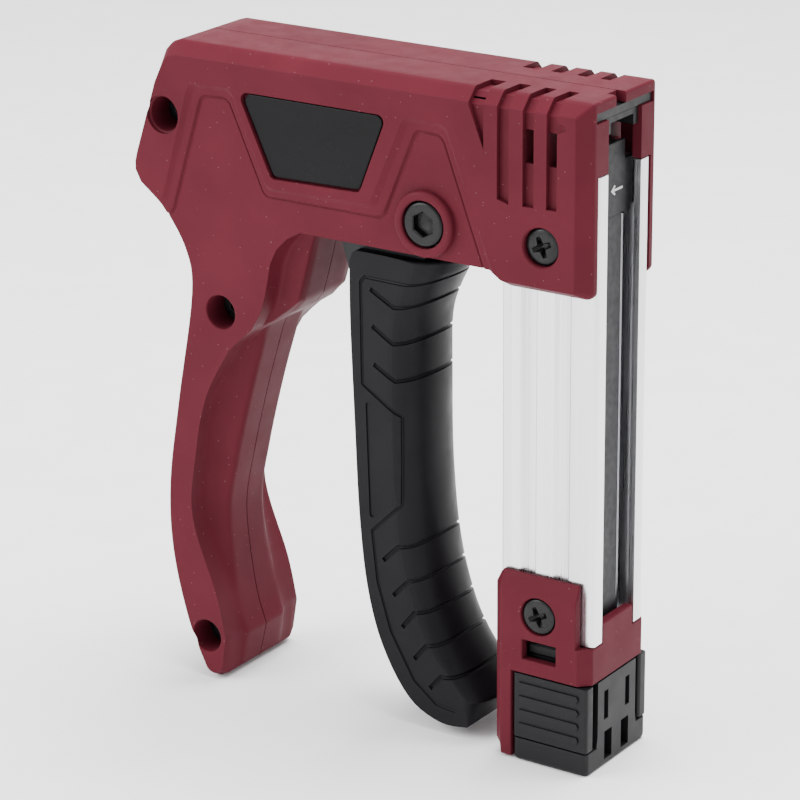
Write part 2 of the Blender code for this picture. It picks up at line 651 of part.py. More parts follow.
def staple_rail():
    """Folded steel rail that the staples straddle, with a wide head at the nose."""
    low, high, crown = DECK - HEAD_LOW, DECK + 0.6, DECK + CROWN_TOP
    front, back = -RAIL_FRONT, -RAIL_FRONT - SHEET
    rail = prism("staple_rail", rail_section(), RAIL_FOOT, low + 0.6, "black_steel", along="Z")
    half, corner = HEAD_WIDTH / 2, 2.2
    right = [(RAIL_HALF, low), (half - corner, low), (half, low + corner), (half, high), (CROWN_HALF, high),
             (CROWN_HALF, crown)]
    head = right + [(-y, z) for y, z in reversed(right)]
    plate = prism("plate", head, back, front, "black_steel", along="X")
    inner = RAIL_HALF - SHEET - GAP
    roof = box("roof", (-ROD_BACK - 2.5, back + SHEET / 2), (-inner, inner), (crown - SHEET, crown))
    rail = join(join(rail, plate), roof)
    reliefs = [turned("relief", [(0.9, back - 1), (0.9, front + 1)], (0, side * RAIL_HALF, low),
                      "black_steel", along="X", sides=12) for side in (-1, 1)]
    return cut(rail, *reliefs, drawer_pin_hole(RAIL_HALF + 2))


def magazine_cap():
    """Black cap that closes the drawer; the rail stands in its core."""
    half, bevel = CAP_HALF, 1.6
    plan = [(-CAP_DEPTH, -half), (-bevel, -half), (0, -half + bevel), (0, half - bevel), (-bevel, half),
            (-CAP_DEPTH, half)]
    foot = [(x * 0.985 - 0.2, y * 0.95) for x, y in plan]
    rings = [[(x, y, 0.0) for x, y in foot], [(x, y, 1.4) for x, y in plan],
             [(x, y, ARM_FOOT - GAP) for x, y in plan]]
    cap = loft("magazine_cap", rings, "black_plastic")
    cap = join(cap, box("core", (-CAP_DEPTH, 0), (-CORE_HALF, CORE_HALF), (2, CAP_HEIGHT)))
    front, back, side = -RAIL_FRONT + GAP, -RAIL_FRONT - RAIL_DEPTH - GAP, RAIL_HALF + GAP
    socket = box("cutter", (back, front), (-side, side), (RAIL_FOOT - 0.4, CAP_HEIGHT + 1))
    slots = [box("cutter", (-2.2, 1), sorted((way * a, way * b)), z)
             for way in (-1, 1) for a, b, z in ((4.6, 6.6, (13.3, 21.4)), (2.4, 6.3, (1.6, 9.8)))]
    return cut(cap, socket, drawer_pin_hole(CORE_HALF + 1), *slots)


def latch_arm(name, side):
    """Ribbed side button with a catch that shows in the end cap's window."""
    bevel = 1.6
    back = -CAP_DEPTH + 0.2
    inside, outside = ARM_INSIDE, CAP_HALF
    plan = [(back, inside), (0, inside), (0, outside - bevel), (-bevel, outside), (back, outside)]
    arm = prism(name, [(x, side * y) for x, y in plan], ARM_FOOT, CAP_HEIGHT, "black_plastic", along="Z")
    ribs = []
    for k in range(4):
        z = ARM_FOOT + 2.6 + 4.0 * k
        ribs.append(box("rib", (-20.4, -2.9), sorted((side * (outside - 0.3), side * (outside + 0.5))), (z, z + 1.5)))
    catch_x = (WINDOW_X[0] + RUN, WINDOW_X[1] - RUN)
    inner, hook = CHANNEL_HALF - 2.4, CHANNEL_HALF - 0.2
    low, top, lip = CAP_HEIGHT - 3.0, CHANNEL_BOTTOM - 1.0, CHANNEL_BOTTOM - 4.4
    section = [(inside, low), (hook - 0.6, low), (hook - 0.6, lip - 1.8), (hook, lip - 1.0), (hook, lip + 1.0),
               (hook - 0.6, lip + 1.8), (hook - 0.6, top), (inner, top), (inner, CAP_HEIGHT + GAP),
               (inside, CAP_HEIGHT + GAP)]
    stem = prism("stem", [(side * y, z) for y, z in section], catch_x[0], catch_x[1], "black_plastic", along="X")
    return join(arm, *ribs, stem)


def drawer_parts():
    staple_rail()
    magazine_cap()
    turned("rail_pin", [(DRAWER_PIN / 2, 0.4 - CORE_HALF), (DRAWER_PIN / 2, CORE_HALF - 0.4)],
           (DRAWER_PIN_AT[0], 0, DRAWER_PIN_AT[1]), "bare_steel", sides=12)
    rod = ROD_DIAMETER / 2
    turned("spring_rod", [(rod, ROD_FOOT), (rod, DECK + CROWN_TOP - SHEET - GAP)], (-ROD_BACK, 0, 0),
           "bare_steel", along="Z", sides=10)
    for name, side in (("left_latch", -1), ("right_latch", 1)):
        set_origin(latch_arm(name, side), (-CAP_DEPTH / 2, side * LATCH_AXIS, ARM_FOOT))


def pusher():
    """Follower that straddles the rail and rides on the spring rod."""
    outer = GUIDE_INSIDE - RUN
    inner = RAIL_HALF + GAP
    core = RAIL_HALF - SHEET - RUN
    front, floor = -RAIL_FRONT - SHEET - RUN, -RAIL_FRONT - RAIL_DEPTH - GAP
    back = floor - 3.1
    right = [(-ROD_BACK + 3.2, 0), (-ROD_BACK + 3.2, core), (floor, core), (floor, inner), (front, inner),
             (front, outer), (back, outer)]
    outline = [(x, -y) for x, y in reversed(right)] + right[1:]
    block = prism("pusher", outline, DECK - PUSHER_LENGTH, DECK - 1.0, "black_plastic", along="Z")
    hole = ROD_DIAMETER / 2 + RUN
    return cut(block, turned("cutter", [(hole, DECK - PUSHER_LENGTH - 1), (hole, DECK)],
                             (-ROD_BACK, 0, 0), "black_plastic", along="Z", sides=12))


def pusher_parts():
    pusher()
    coil("pusher_spring", PUSHER_SPRING / 2, PUSHER_WIRE, ROD_FOOT + 0.4, DECK - PUSHER_LENGTH - GAP, 15,
         (-ROD_BACK, 0, 0), "Z", "bare_steel", per_turn=9, sides=4)


# ---------------------------------------------------------------- lever

def lever_draw(y):
    """How far the rounded front draws back at a distance from the seam."""
    share = abs(y) / LEVER_HALF
    return LEVER_NOSE * (1 - math.sqrt(max(0.0, 1 - share * share)))


def lever_cover():
    """Moulded grip round the lever's frame: flat sides, a rounded front and an open back."""
    back = from_pivot([(-25.9, -LEVER_TOP)] + smooth(LEVER_BACK, 2))
    front = from_pivot(smooth(LEVER_FRONT, 2) + [(1.6, -LEVER_TOP)])
    leans = [0.75, 0.9] + [1.0] * (len(front) - 2)
    rings = []
    for share in (-1, -0.96, -0.8, -0.5, 0, 0.5, 0.8, 0.96, 1):
        y = share * LEVER_HALF
        ring = [(x, y, z) for x, z in back]
        ring += [(x - lever_draw(y) * lean, y, z) for (x, z), lean in zip(front, leans)]
        rings.append(ring)
    cover = loft("lever_cover", rings, "black_plastic")
    inside = FRAME_HALF + GAP
    hollow = [(x - 6, z) for x, z in smooth(LEVER_BACK, 2)[:12]]
    hollow += [(x - LEVER_FRONT_WALL - lever_draw(inside), z) for x, z in smooth(LEVER_FRONT, 2)[6:]]
    hollow += [(1.6 - LEVER_FRONT_WALL - lever_draw(inside), -LEVER_TOP + 1), (-33.1, -LEVER_TOP + 1)]
    return cut(cover, prism("cutter", from_pivot(hollow), -inside, inside, "black_plastic"))


def lever_frame():
    """Pressed steel channel: a web down the lever, two cheeks round the pivot and a yoke on top."""
    draw = LEVER_FRONT_WALL + lever_draw(FRAME_HALF + GAP) + GAP
    spine = [(x - draw, z) for x, z in smooth(LEVER_FRONT, 2)[8:]]
    heel = [(x + 2.0, z) for x, z in smooth(LEVER_BACK, 2)[2:10]]
    ears = [(1.6 - draw, -LEVER_TOP)] + arc_points((0, 0), EAR, -100, 10, 6)
    ears += arc_points((0, YOKE_REACH), YOKE_EAR, 10, 170, 6) + arc_points((0, 0), EAR, 160, 180, 2)
    neck = [(-26.0, -LEVER_TOP + 5.5), (-31.3, -LEVER_TOP + 3.5), (-31.3, -LEVER_TOP + 1.0)]
    frame = prism("lever_frame", from_pivot(heel + spine + ears + neck), -FRAME_HALF, FRAME_HALF, "black_steel")
    inside = FRAME_HALF - FRAME_SHEET
    web = [(x - FRAME_SHEET, z) for x, z in spine]
    roof = -LEVER_TOP + 1.5
    core = [(-42, 40), (-42, -112), (web[0][0], -112)] + web + [(web[-1][0], roof), (20, roof), (20, 40)]
    hole = SLEEVE_DIAMETER / 2 + BUSH_WALL + GAP
    pin = YOKE_PIN / 2 + GAP
    side = FRAME_HALF + 1
    return cut(frame, prism("cutter", from_pivot(core), -inside, inside, "black_steel"),
               turned("cutter", [(hole, -side), (hole, side)], (PIVOT[0], 0, PIVOT[1]), "black_steel"),
               turned("cutter", [(pin, -side), (pin, side)], (PIVOT[0], 0, PIVOT[1] + YOKE_REACH),
                      "black_steel", sides=16))


def lever_parts():
    centre = (PIVOT[0], 0, PIVOT[1])
    bore = SLEEVE_DIAMETER / 2
    yoke = (PIVOT[0], 0, PIVOT[1] + YOKE_REACH)
    half = FRAME_HALF + 1.2
    pieces = [
        lever_cover(),
        lever_frame(),
        tube("pivot_bush", bore + BUSH_WALL, bore + 0.1, -half, half, centre, "bare_steel"),
        turned("yoke_pin", [(YOKE_PIN / 2, -half + 0.6), (YOKE_PIN / 2, half - 0.6)], yoke, "bare_steel",
               sides=16),
    ]
    for piece in pieces:
        set_origin(piece, centre)


# ---------------------------------------------------------------- striking gear

def hammer():
    """Block that the yoke pin carries forwards; the blade sits in its front."""
    half = HAMMER_HALF
    solid = box("hammer", HAMMER, (-half, half), (DECK + HAMMER_LOW, DECK + HAMMER_HIGH), "bare_steel")
    yoke = PIVOT[1] + YOKE_REACH
    drop = YOKE_REACH * (1 - math.cos(math.radians(SQUEEZE)))
    pin = YOKE_PIN / 2 + RUN
    slot = box("cutter", (PIVOT[0] - pin, PIVOT[0] + pin), (-half - 1, half + 1), (yoke - pin - drop, yoke + pin))
    blade = BLADE_WIDTH / 2 + GAP
    middle = DECK + BLADE_HEIGHT
    thick = BLADE_THICKNESS / 2 + GAP
    seat = box("cutter", (HAMMER[1] - 7, HAMMER[1] + 1), (-blade, blade), (middle - thick, middle + thick))
    return cut(solid, slot, seat)


def driver_blade():
    half = BLADE_WIDTH / 2
    tip = -1.2 - YOKE_REACH * math.sin(math.radians(SQUEEZE))
    back = HAMMER[1] - 7 + GAP
    middle = DECK + BLADE_HEIGHT
    outline = [(back, -half), (tip, -half), (tip, half), (back, half)]
    return prism("driver_blade", outline, middle - BLADE_THICKNESS / 2, middle + BLADE_THICKNESS / 2,
                 "bare_steel", along="Z")


def hammer_guide():
    """Folded sheet that the hammer slides in, open at the front and the sides."""
    low, high = HAMMER_LOW - GAP, HAMMER_HIGH + GAP
    back, sheet = HAMMER[0] - 3.0, GUIDE_SHEET
    outline = [(-30, low - sheet), (-30, low), (back, low), (back, high), (-26, high), (-26, high + sheet),
               (back - sheet, high + sheet), (back - sheet, low - sheet)]
    guide = prism("hammer_guide", up(outline), -HAMMER_HALF, HAMMER_HALF, "black_steel")
    hole = RETURN_SPRING / 2 + RUN
    return cut(guide, turned("cutter", [(hole, back - 3), (hole, back + 2)], (0, 0, ANCHOR[1]), "black_steel",
                             along="X", sides=16))


def striking_gear():
    hammer()
    driver_blade()
    hammer_guide()
    anchor = ANCHOR_PIN / 2
    reach = CAVITY_HALF + 1.2
    turned("spring_anchor", [(anchor, -reach), (anchor, reach)], (ANCHOR[0], 0, ANCHOR[1]), "bare_steel",
           sides=12)
    coil("return_spring", RETURN_SPRING / 2, RETURN_WIRE, ANCHOR[0] + anchor + GAP, HAMMER[0] - GAP, 9,
         (0, 0, ANCHOR[1]), "X", "bare_steel", 10)
    box("hammer_bumper", (-24.0, -19.0), (-HAMMER_HALF, HAMMER_HALF),
        (DECK + HAMMER_LOW, DECK + BLADE_HEIGHT - BLADE_THICKNESS), "rubber")


def nose_parts():
    """Steel plates that close the firing slot above the blade."""
    low, high = PLATE_LOW + GAP, PLATE_TOP
    box("nose_top_plate", (-NOSE_PLATE_LENGTH - 0.6, -0.6), (-NOSE_PLATE_HALF, NOSE_PLATE_HALF),
        (DECK + low, DECK + high))
    inside = CHANNEL_HALF - LIP_WIDTH - GAP
    above = BLADE_HEIGHT + BLADE_THICKNESS / 2 + RUN
    guide = box("nose_guide", (-22.0, -1.0), (-inside, inside), (DECK + above, DECK + low - GAP))
    tabs = [box("tab", (-6.0, -1.0), sorted((side * (BLADE_WIDTH / 2 + RUN), side * inside)),
                (DECK + above - 2.8, DECK + above + 0.4)) for side in (-1, 1)]
    join(guide, *tabs)


def set_origin(piece, origin):
    """Put a piece's origin on its joint's axis and leave the piece where it is."""
    place = Vector(origin) * MM
    piece.data.transform(Matrix.Translation(-place))
    piece.location = place


def main():
    for old in list(bpy.data.objects):
        bpy.data.objects.remove(old)
    shells()
    for label, side in (("left", -1), ("right", 1)):
        badge(label + "_badge_plate", side)
    fasteners()
    pivot_parts()
    magazine_channel()
    end_cap()
    drawer_parts()
    pusher_parts()
    lever_parts()
    striking_gear()
    nose_parts()
    root = bpy.data.objects.new("root", None)
    bpy.context.collection.objects.link(root)
    root.location = (LENGTH / 2 * MM, 0, 0)
    for piece in list(bpy.data.objects):
        if piece is not root:
            piece.parent = root


main()
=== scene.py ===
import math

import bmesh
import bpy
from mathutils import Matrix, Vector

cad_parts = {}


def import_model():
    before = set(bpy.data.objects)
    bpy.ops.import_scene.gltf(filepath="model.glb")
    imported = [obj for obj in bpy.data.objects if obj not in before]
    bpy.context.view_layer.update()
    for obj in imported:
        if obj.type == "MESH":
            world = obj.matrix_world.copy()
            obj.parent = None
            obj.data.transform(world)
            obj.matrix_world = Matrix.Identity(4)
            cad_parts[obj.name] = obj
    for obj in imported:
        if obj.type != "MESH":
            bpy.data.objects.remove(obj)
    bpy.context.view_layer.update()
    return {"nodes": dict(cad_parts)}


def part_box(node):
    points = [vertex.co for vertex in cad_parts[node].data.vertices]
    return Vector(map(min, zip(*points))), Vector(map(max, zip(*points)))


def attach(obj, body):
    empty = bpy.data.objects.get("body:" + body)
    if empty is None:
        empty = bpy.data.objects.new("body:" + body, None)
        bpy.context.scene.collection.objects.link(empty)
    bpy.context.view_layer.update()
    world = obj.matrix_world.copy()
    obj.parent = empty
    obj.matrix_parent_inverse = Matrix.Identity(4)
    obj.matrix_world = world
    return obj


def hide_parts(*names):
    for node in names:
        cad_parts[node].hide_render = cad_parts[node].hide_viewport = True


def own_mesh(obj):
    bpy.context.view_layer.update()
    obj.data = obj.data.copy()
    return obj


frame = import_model()

# %% [markdown]
# # A hand staple gun
# The tool is a pistol-shaped body of two moulded halves, a squeeze lever under it, and an upright
# aluminium magazine at the nose. Its working model, with every joint, is already loaded above as a
# set of plain solids. This lesson gives each piece the surface that a maker would give it: finer
# curves, softened edges, grooves, and a finish of its own. Nothing moves from where the model has it.

MM = 0.001
channel_low, channel_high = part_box("magazine_channel")
shell_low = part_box("right_shell")[0]
cap_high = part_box("magazine_cap")[1]
DECK = channel_high.z / MM
FACE = channel_high.x / MM
HEEL = shell_low.x / MM - FACE
print(f"deck {DECK:.1f} mm above the ground, work face at {FACE:.1f} mm, heel {HEEL:.1f} mm behind it")

# %% [markdown]
# ## Places
# A maker of this tool would measure it from the deck, which is the upper end of the magazine, and
# from the work face at the nose. So outlines below are (x, z) pairs in millimetres from the work
# face at the deck, and y runs from the seam between the two halves. One function turns such a point
# into metres in the shared frame, and every mesh is built through it.

# %% Turn a maker's point into the shared frame
def world(x, y, z):
    return Vector(((FACE + x) * MM, y * MM, (DECK + z) * MM))


def ground(z):
    """A height above the ground, given from the deck."""
    return z - DECK


# %% [markdown]
# ## Making solids
# Most of the pieces are mouldings, pressings and turned parts. All of them can be drawn as a stack
# of rings that are skinned, so one loft function makes them. A mesh built face by face keeps the
# outline exact and stays light, where a sculpted mesh would need far more faces.

# %% Skin a stack of rings
SAME_POINT = 1e-6


def skin(name, rings, merge=True):
    """Join rings of points in metres with faces, close both ends, and put the piece in the scene."""
    data = bmesh.new()
    layers = [[data.verts.new(point) for point in ring] for ring in rings]
    count = len(layers[0])
    for lower, upper in zip(layers, layers[1:]):
        for i in range(count):
            j = (i + 1) % count
            data.faces.new((lower[i], lower[j], upper[j], upper[i]))
    data.faces.new(layers[0])
    data.faces.new(layers[-1])
    if merge:
        bmesh.ops.remove_doubles(data, verts=data.verts, dist=SAME_POINT)
    bmesh.ops.recalc_face_normals(data, faces=data.faces)
    mesh = bpy.data.meshes.new(name)
    data.to_mesh(mesh)
    data.free()
    piece = bpy.data.objects.new(name, mesh)
    bpy.context.scene.collection.objects.link(piece)
    return piece


def loft(name, rings):
    return skin(name, [[world(*point) for point in ring] for ring in rings])


def prism(name, outline, low, high, along="Y"):
    """Extrude an outline: (x, z) along Y, (x, y) along Z, or (y, z) along X."""
    def lift(point, level):
        a, b = point
        return {"Y": (a, level, b), "Z": (a, b, level), "X": (level, a, b)}[along]
    return loft(name, [[lift(p, low) for p in outline], [lift(p, high) for p in outline]])


def block(name, x, y, z):
    return prism(name, [(x[0], z[0]), (x[1], z[0]), (x[1], z[1]), (x[0], z[1])], y[0], y[1])


def turned(name, profile, centre, along="Y", sides=48):
    """Turn a profile of (radius, level) pairs about an axis through centre."""
    rings = []
    for radius, level in profile:
        ring = []
        for i in range(sides):
            turn = 2 * math.pi * (i + 0.5) / sides
            u, v = radius * math.cos(turn), radius * math.sin(turn)
            offset = {"Y": (u, level, v), "Z": (u, v, level), "X": (level, u, v)}[along]
            ring.append(tuple(c + o for c, o in zip(centre, offset)))
        rings.append(ring)
    return loft(name, rings)


def bore(name, profile, point, sides=48):
    """A turned shape about an axis that crosses the seam at a point (x, z)."""
    return turned(name, profile, (point[0], 0, point[1]), sides=sides)


def hole(radius, low, high, centre, along="Y"):
    return turned("cutter", [(radius, low), (radius, high)], centre, along, 24)


# %% [markdown]
# ## Cutting and joining
# Holes, recesses and bosses are made the way a toolmaker makes them: a plain block is cut by
# another shape, or two shapes are made one. Blender's Boolean modifier does both. The result is
# written back into the mesh at once and the cutter is removed, so that no helper object is left.

# %% Boolean helpers
def bake(piece):
    bpy.context.view_layer.update()
    seen = piece.evaluated_get(bpy.context.evaluated_depsgraph_get())
    mesh = bpy.data.meshes.new_from_object(seen)
    piece.modifiers.clear()
    piece.data = mesh
    return piece


def combine(piece, others, operation):
    for other in others:
        step = piece.modifiers.new("step", "BOOLEAN")
        step.operation = operation
        step.object = other
    bake(piece)
    for other in others:
        bpy.data.objects.remove(other)
    return piece


def cut(piece, *cutters):
    return combine(piece, cutters, "DIFFERENCE")


def join(piece, *others):
    return combine(piece, others, "UNION")


# %% [markdown]
# ## Curved outlines
# A grip is a flowing line, and a plate has rounded corners. The first function runs a smooth curve
# through a few chosen points, and the second swaps each corner for an arc. Both keep the outline as
# a short list that a reader can change.

# %% Smooth and rounded outlines
def smooth(points, steps):
    ends = [points[0]] + list(points) + [points[-1]]
    out = []
    for a, b, c, d in zip(ends, ends[1:], ends[2:], ends[3:]):
        for k in range(steps):
            t = k / steps
            out.append(tuple(0.5 * (2 * q + (r - p) * t + (2 * p - 5 * q + 4 * r - s) * t * t
                                    + (3 * q - p - 3 * r + s) * t ** 3)
                             for p, q, r, s in zip(a, b, c, d)))
    out.append(tuple(points[-1]))
    return out


def rounded(points, radius, steps=5):
    out = []
    count = len(points)
    for i, corner in enumerate(points):
        here = Vector(corner)
        before = Vector(points[i - 1]) - here
        after = Vector(points[(i + 1) % count]) - here
        half_angle = before.angle(after) / 2
        reach = min(radius / math.tan(half_angle), before.length / 2, after.length / 2)
        arc = reach * math.tan(half_angle)
        centre = here + (before.normalized() + after.normalized()).normalized() * (arc / math.sin(half_angle))
        start = here + before.normalized() * reach - centre
        end = here + after.normalized() * reach - centre
        for k in range(steps + 1):
            out.append(tuple(centre + start.slerp(end, k / steps).normalized() * arc))
    return out


# %% [markdown]
# ## Softened edges
# Nothing that comes out of a mould or a press has a knife edge, and the thin highlight along an
# edge is most of what makes a surface look real. Small parts get a Bevel modifier at the end, which
# rounds only their sharp edges, and each by no more than the room beside it. The big mouldings are
# rounded first and cut afterwards, because a bevel on a face full of holes can fold over. Their
# cutters have flared mouths instead. The seam between the halves is left crisp, as it really is.

# %% Round the sharp edges of a finished mesh
SHARP = math.radians(28)
FAINT = math.radians(5)
SIDEWAYS = 0.93
ROOM_SHARE = 0.42


def is_side_step(edge):
    """An edge between two faces that both look nearly sideways, such as a shallow field's rim."""
    sideways = all(abs(face.normal.y) > SIDEWAYS for face in edge.link_faces)
    return sideways and edge.calc_face_angle(0) > FAINT


def room_beside(edge):
    """The length of the shortest edge that leaves this one sideways, so that a bevel fits beside it."""
    way = (edge.verts[1].co - edge.verts[0].co).normalized()
    lengths = [1.0]
    for vert in edge.verts:
        for other in vert.link_edges:
            along = abs((other.verts[1].co - other.verts[0].co).normalized().dot(way))
            if other is not edge and along < 0.75:
                lengths.append(other.calc_length())
    return min(lengths)


def add_rounding(piece, data, width, segments, keep_seam=0.0):
    """A bevel on the sharp edges, each with the share of the width that fits beside it."""
    weight = data.edges.layers.float.new("bevel_weight_edge")
    for edge in data.edges:
        on_seam = keep_seam and all(abs(v.co.y) < keep_seam * MM for v in edge.verts)
        if edge.calc_face_angle(0) > SHARP and not on_seam:
            edge[weight] = min(1.0, ROOM_SHARE * room_beside(edge) / (width * MM))
    data.to_mesh(piece.data)
    data.free()
    rounding = piece.modifiers.new("rounding", "BEVEL")
    rounding.limit_method = "WEIGHT"
    rounding.width = width * MM
    rounding.segments = segments
    rounding.use_clamp_overlap = False


def bake_flat(piece):
    """Bake with normals that keep large faces flat."""
    flat = piece.modifiers.new("flat faces", "WEIGHTED_NORMAL")
    flat.keep_sharp = True
    return bake(piece)


def soften(piece, width):
    data = bmesh.new()
    data.from_mesh(piece.data)
    bmesh.ops.remove_doubles(data, verts=data.verts, dist=0.02 * MM)
    bmesh.ops.dissolve_degenerate(data, edges=data.edges, dist=0.02 * MM)
    add_rounding(piece, data, width, 2)
    piece.data.shade_smooth()
    return bake_flat(piece)


def round_form(piece, width, segments=3, keep_seam=0.0):
    """Round the sharp edges of a whole form before anything is cut out of it."""
    data = bmesh.new()
    data.from_mesh(piece.data)
    add_rounding(piece, data, width, segments, keep_seam)
    return bake(piece)


def crisp(piece, steps=False):
    """Smooth shading that keeps cut edges sharp and flat faces flat."""
    data = bmesh.new()
    data.from_mesh(piece.data)
    bmesh.ops.remove_doubles(data, verts=data.verts, dist=0.004 * MM)
    for edge in data.edges:
        edge.smooth = edge.calc_face_angle(0) < 1.25 * SHARP and not (steps and is_side_step(edge))
    for face in data.faces:
        face.smooth = True
    data.to_mesh(piece.data)
    data.free()
    return bake_flat(piece)


# %% [markdown]
# ## Finishes
# Each finish is a small node tree. Fine grain comes from a noise that tilts the surface a little,
# and slow changes of shade come from a much larger noise, because a moulding is never one flat
# colour. The noises read object coordinates, so they stay with a piece when it moves. What is the
# same all over, such as metallic, is set on the shader itself.

# %% A shared start for all finishes
def start_finish(name, metallic=0.0, specular=0.5):
    made = bpy.data.materials.new(name)
    made.use_nodes = True
    tree = made.node_tree
    shader = tree.nodes["Principled BSDF"]
    shader.inputs["Metallic"].default_value = metallic
    shader.inputs["Specular IOR Level"].default_value = specular
    place = tree.nodes.new("ShaderNodeTexCoord")
    return made, tree, shader, place.outputs["Object"]


def noise(tree, place, scale, detail=2.0, stretch=(1, 1, 1)):
    """A noise whose scale is in cells per metre, stretched along one axis if wanted."""
    mapping = tree.nodes.new("ShaderNodeMapping")
    mapping.inputs["Scale"].default_value = stretch
    texture = tree.nodes.new("ShaderNodeTexNoise")
    texture.inputs["Scale"].default_value = scale
    texture.inputs["Detail"].default_value = detail
    tree.links.new(place, mapping.inputs["Vector"])
    tree.links.new(mapping.outputs["Vector"], texture.inputs["Vector"])
    return texture.outputs["Fac"]


def ramp(tree, value, stops, low, high):
    """Colours or greys between two stops of a value."""
    node = tree.nodes.new("ShaderNodeValToRGB")
    for element, stop, colour in zip(node.color_ramp.elements, stops, (low, high)):
        element.position = stop
        element.color = (*colour, 1.0) if len(colour) == 3 else (colour[0],) * 3 + (1.0,)
    tree.links.new(value, node.inputs["Fac"])
    return node.outputs["Color"]


def grain(tree, shader, value, distance, strength, after=None):
    """Tilt the surface by a height, in metres; a second height can be stacked on the first."""
    bump = tree.nodes.new("ShaderNodeBump")
    bump.inputs["Distance"].default_value = distance
    bump.inputs["Strength"].default_value = strength
    tree.links.new(value, bump.inputs["Height"])
    if after:
        tree.links.new(after, bump.inputs["Normal"])
    tree.links.new(bump.outputs["Normal"], shader.inputs["Normal"])
    return bump.outputs["Normal"]


# %% [markdown]
# ## Moulded plastics
# The halves, the end cap, the lever and the drawer's cap are mouldings with a spark-eroded texture:
# matte, with a grain of about a fifth of a millimetre. The red is a dull maroon whose shade varies
# slowly, with a few pale specks of dust. One function makes all of them from a dark and
# a light shade, so that the family looks alike and only the numbers differ.

# %% Moulded plastic finishes
def moulded(name, dark, light, rough, grain_scale, grain_depth, specks=0.0, specular=0.4):
    made, tree, shader, place = start_finish(name, specular=specular)
    colour = ramp(tree, noise(tree, place, 45, 3), (0.35, 0.68), dark, light)
    if specks:
        cells = tree.nodes.new("ShaderNodeTexVoronoi")
        cells.inputs["Scale"].default_value = 420
        tree.links.new(place, cells.inputs["Vector"])
        mask = ramp(tree, cells.outputs["Distance"], (0.05, 0.075), (specks,), (0.0,))
        mix = tree.nodes.new("ShaderNodeMix")
        mix.data_type = "RGBA"
        mix.inputs[7].default_value = (0.62, 0.50, 0.50, 1.0)
        tree.links.new(mask, mix.inputs[0])
        tree.links.new(colour, mix.inputs[6])
        colour = mix.outputs[2]
    tree.links.new(colour, shader.inputs["Base Color"])
    tree.links.new(ramp(tree, noise(tree, place, 160, 2), (0.3, 0.7), (rough - 0.05,), (rough + 0.06,)),
                   shader.inputs["Roughness"])
    slow = grain(tree, shader, noise(tree, place, 260, 1), 1.5 * grain_depth, 0.25)
    grain(tree, shader, noise(tree, place, grain_scale, 2), grain_depth, 0.5, slow)
    return made


shell_red = moulded("shell_red", (0.073, 0.0096, 0.0162), (0.086, 0.0114, 0.0192), 0.46, 3800, 0.00004,
                    specks=0.14, specular=0.05)
lever_black = moulded("lever_black", (0.0036, 0.0034, 0.0043), (0.0052, 0.0049, 0.0062), 0.42, 3000, 0.00004,
                      specular=0.11)
cap_black = moulded("cap_black", (0.0050, 0.0050, 0.0058), (0.0070, 0.0070, 0.0080), 0.42, 3400, 0.00004,
                    specular=0.17)
badge_black = moulded("badge_black", (0.0030, 0.0030, 0.0036), (0.0040, 0.0040, 0.0048), 0.30, 5200, 0.000004,
                      specular=0.10)
rubber_black = moulded("rubber_black", (0.014, 0.014, 0.014), (0.022, 0.022, 0.022), 0.78, 2200, 0.00006)
print("plastics:", [m.name for m in (shell_red, lever_black, cap_black, badge_black, rubber_black)])

# %% [markdown]
# ## Metals
# The channel is extruded, so its marks run along its length: the noise is stretched along Z until
# it draws fine lines. Pressed and turned steel parts are blacked or plated, which leaves a faint
# cloudiness in both shade and polish.

# %% Metal finishes
def drawn_metal(name, dark, light, rough, stretch, lines, depth):
    made, tree, shader, place = start_finish(name, metallic=1.0)
    streaks = noise(tree, place, lines, 4, stretch)
    cloud = noise(tree, place, 120, 2, stretch)
    tree.links.new(ramp(tree, cloud, (0.32, 0.70), dark, light), shader.inputs["Base Color"])
    polish = ramp(tree, streaks, (0.30, 0.72), (rough - 0.07,), (rough + 0.09,))
    tree.links.new(polish, shader.inputs["Roughness"])
    grain(tree, shader, streaks, depth, 0.35)
    return made


def blacked_steel(name, dark, light, rough, metallic):
    made, tree, shader, place = start_finish(name, metallic=metallic, specular=0.28)
    shade = ramp(tree, noise(tree, place, 210, 4), (0.33, 0.70), dark, light)
    tree.links.new(shade, shader.inputs["Base Color"])
    tree.links.new(ramp(tree, noise(tree, place, 520, 3), (0.3, 0.7), (rough - 0.08,), (rough + 0.08,)),
                   shader.inputs["Roughness"])
    grain(tree, shader, noise(tree, place, 2600, 2), 0.00002, 0.35)
    return made


aluminium = drawn_metal("aluminium", (0.66, 0.66, 0.69), (0.93, 0.93, 0.95), 0.30,
                        (1, 1, 0.012), 2600, 0.00002)
bare_steel = drawn_metal("bare_steel", (0.44, 0.44, 0.46), (0.60, 0.60, 0.62), 0.30,
                         (0.03, 1, 1), 1500, 0.00001)
spring_steel = drawn_metal("spring_steel", (0.30, 0.30, 0.32), (0.46, 0.46, 0.48), 0.32,
                           (1, 1, 1), 700, 0.00001)
black_steel = blacked_steel("black_steel", (0.0055, 0.0055, 0.0064), (0.011, 0.011, 0.0125), 0.42, 0.25)
screw_black = blacked_steel("screw_black", (0.0025, 0.0025, 0.0029), (0.0060, 0.0060, 0.0068), 0.33, 0.2)
print("metals:", [m.name for m in (aluminium, bare_steel, spring_steel, black_steel, screw_black)])

# %% [markdown]
# ## Fitting a piece to the model
# Every finished piece gets its finish, is hung on the rigid body that carries it, and hides the
# plain solid it stands for. One function does all three.

# %% Attach a finished piece
made_pieces = []


def fit(piece, finish, body, node):
    piece.data.materials.clear()
    piece.data.materials.append(finish)
    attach(piece, body)
    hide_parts(node)
    made_pieces.append(piece.name)
    return piece


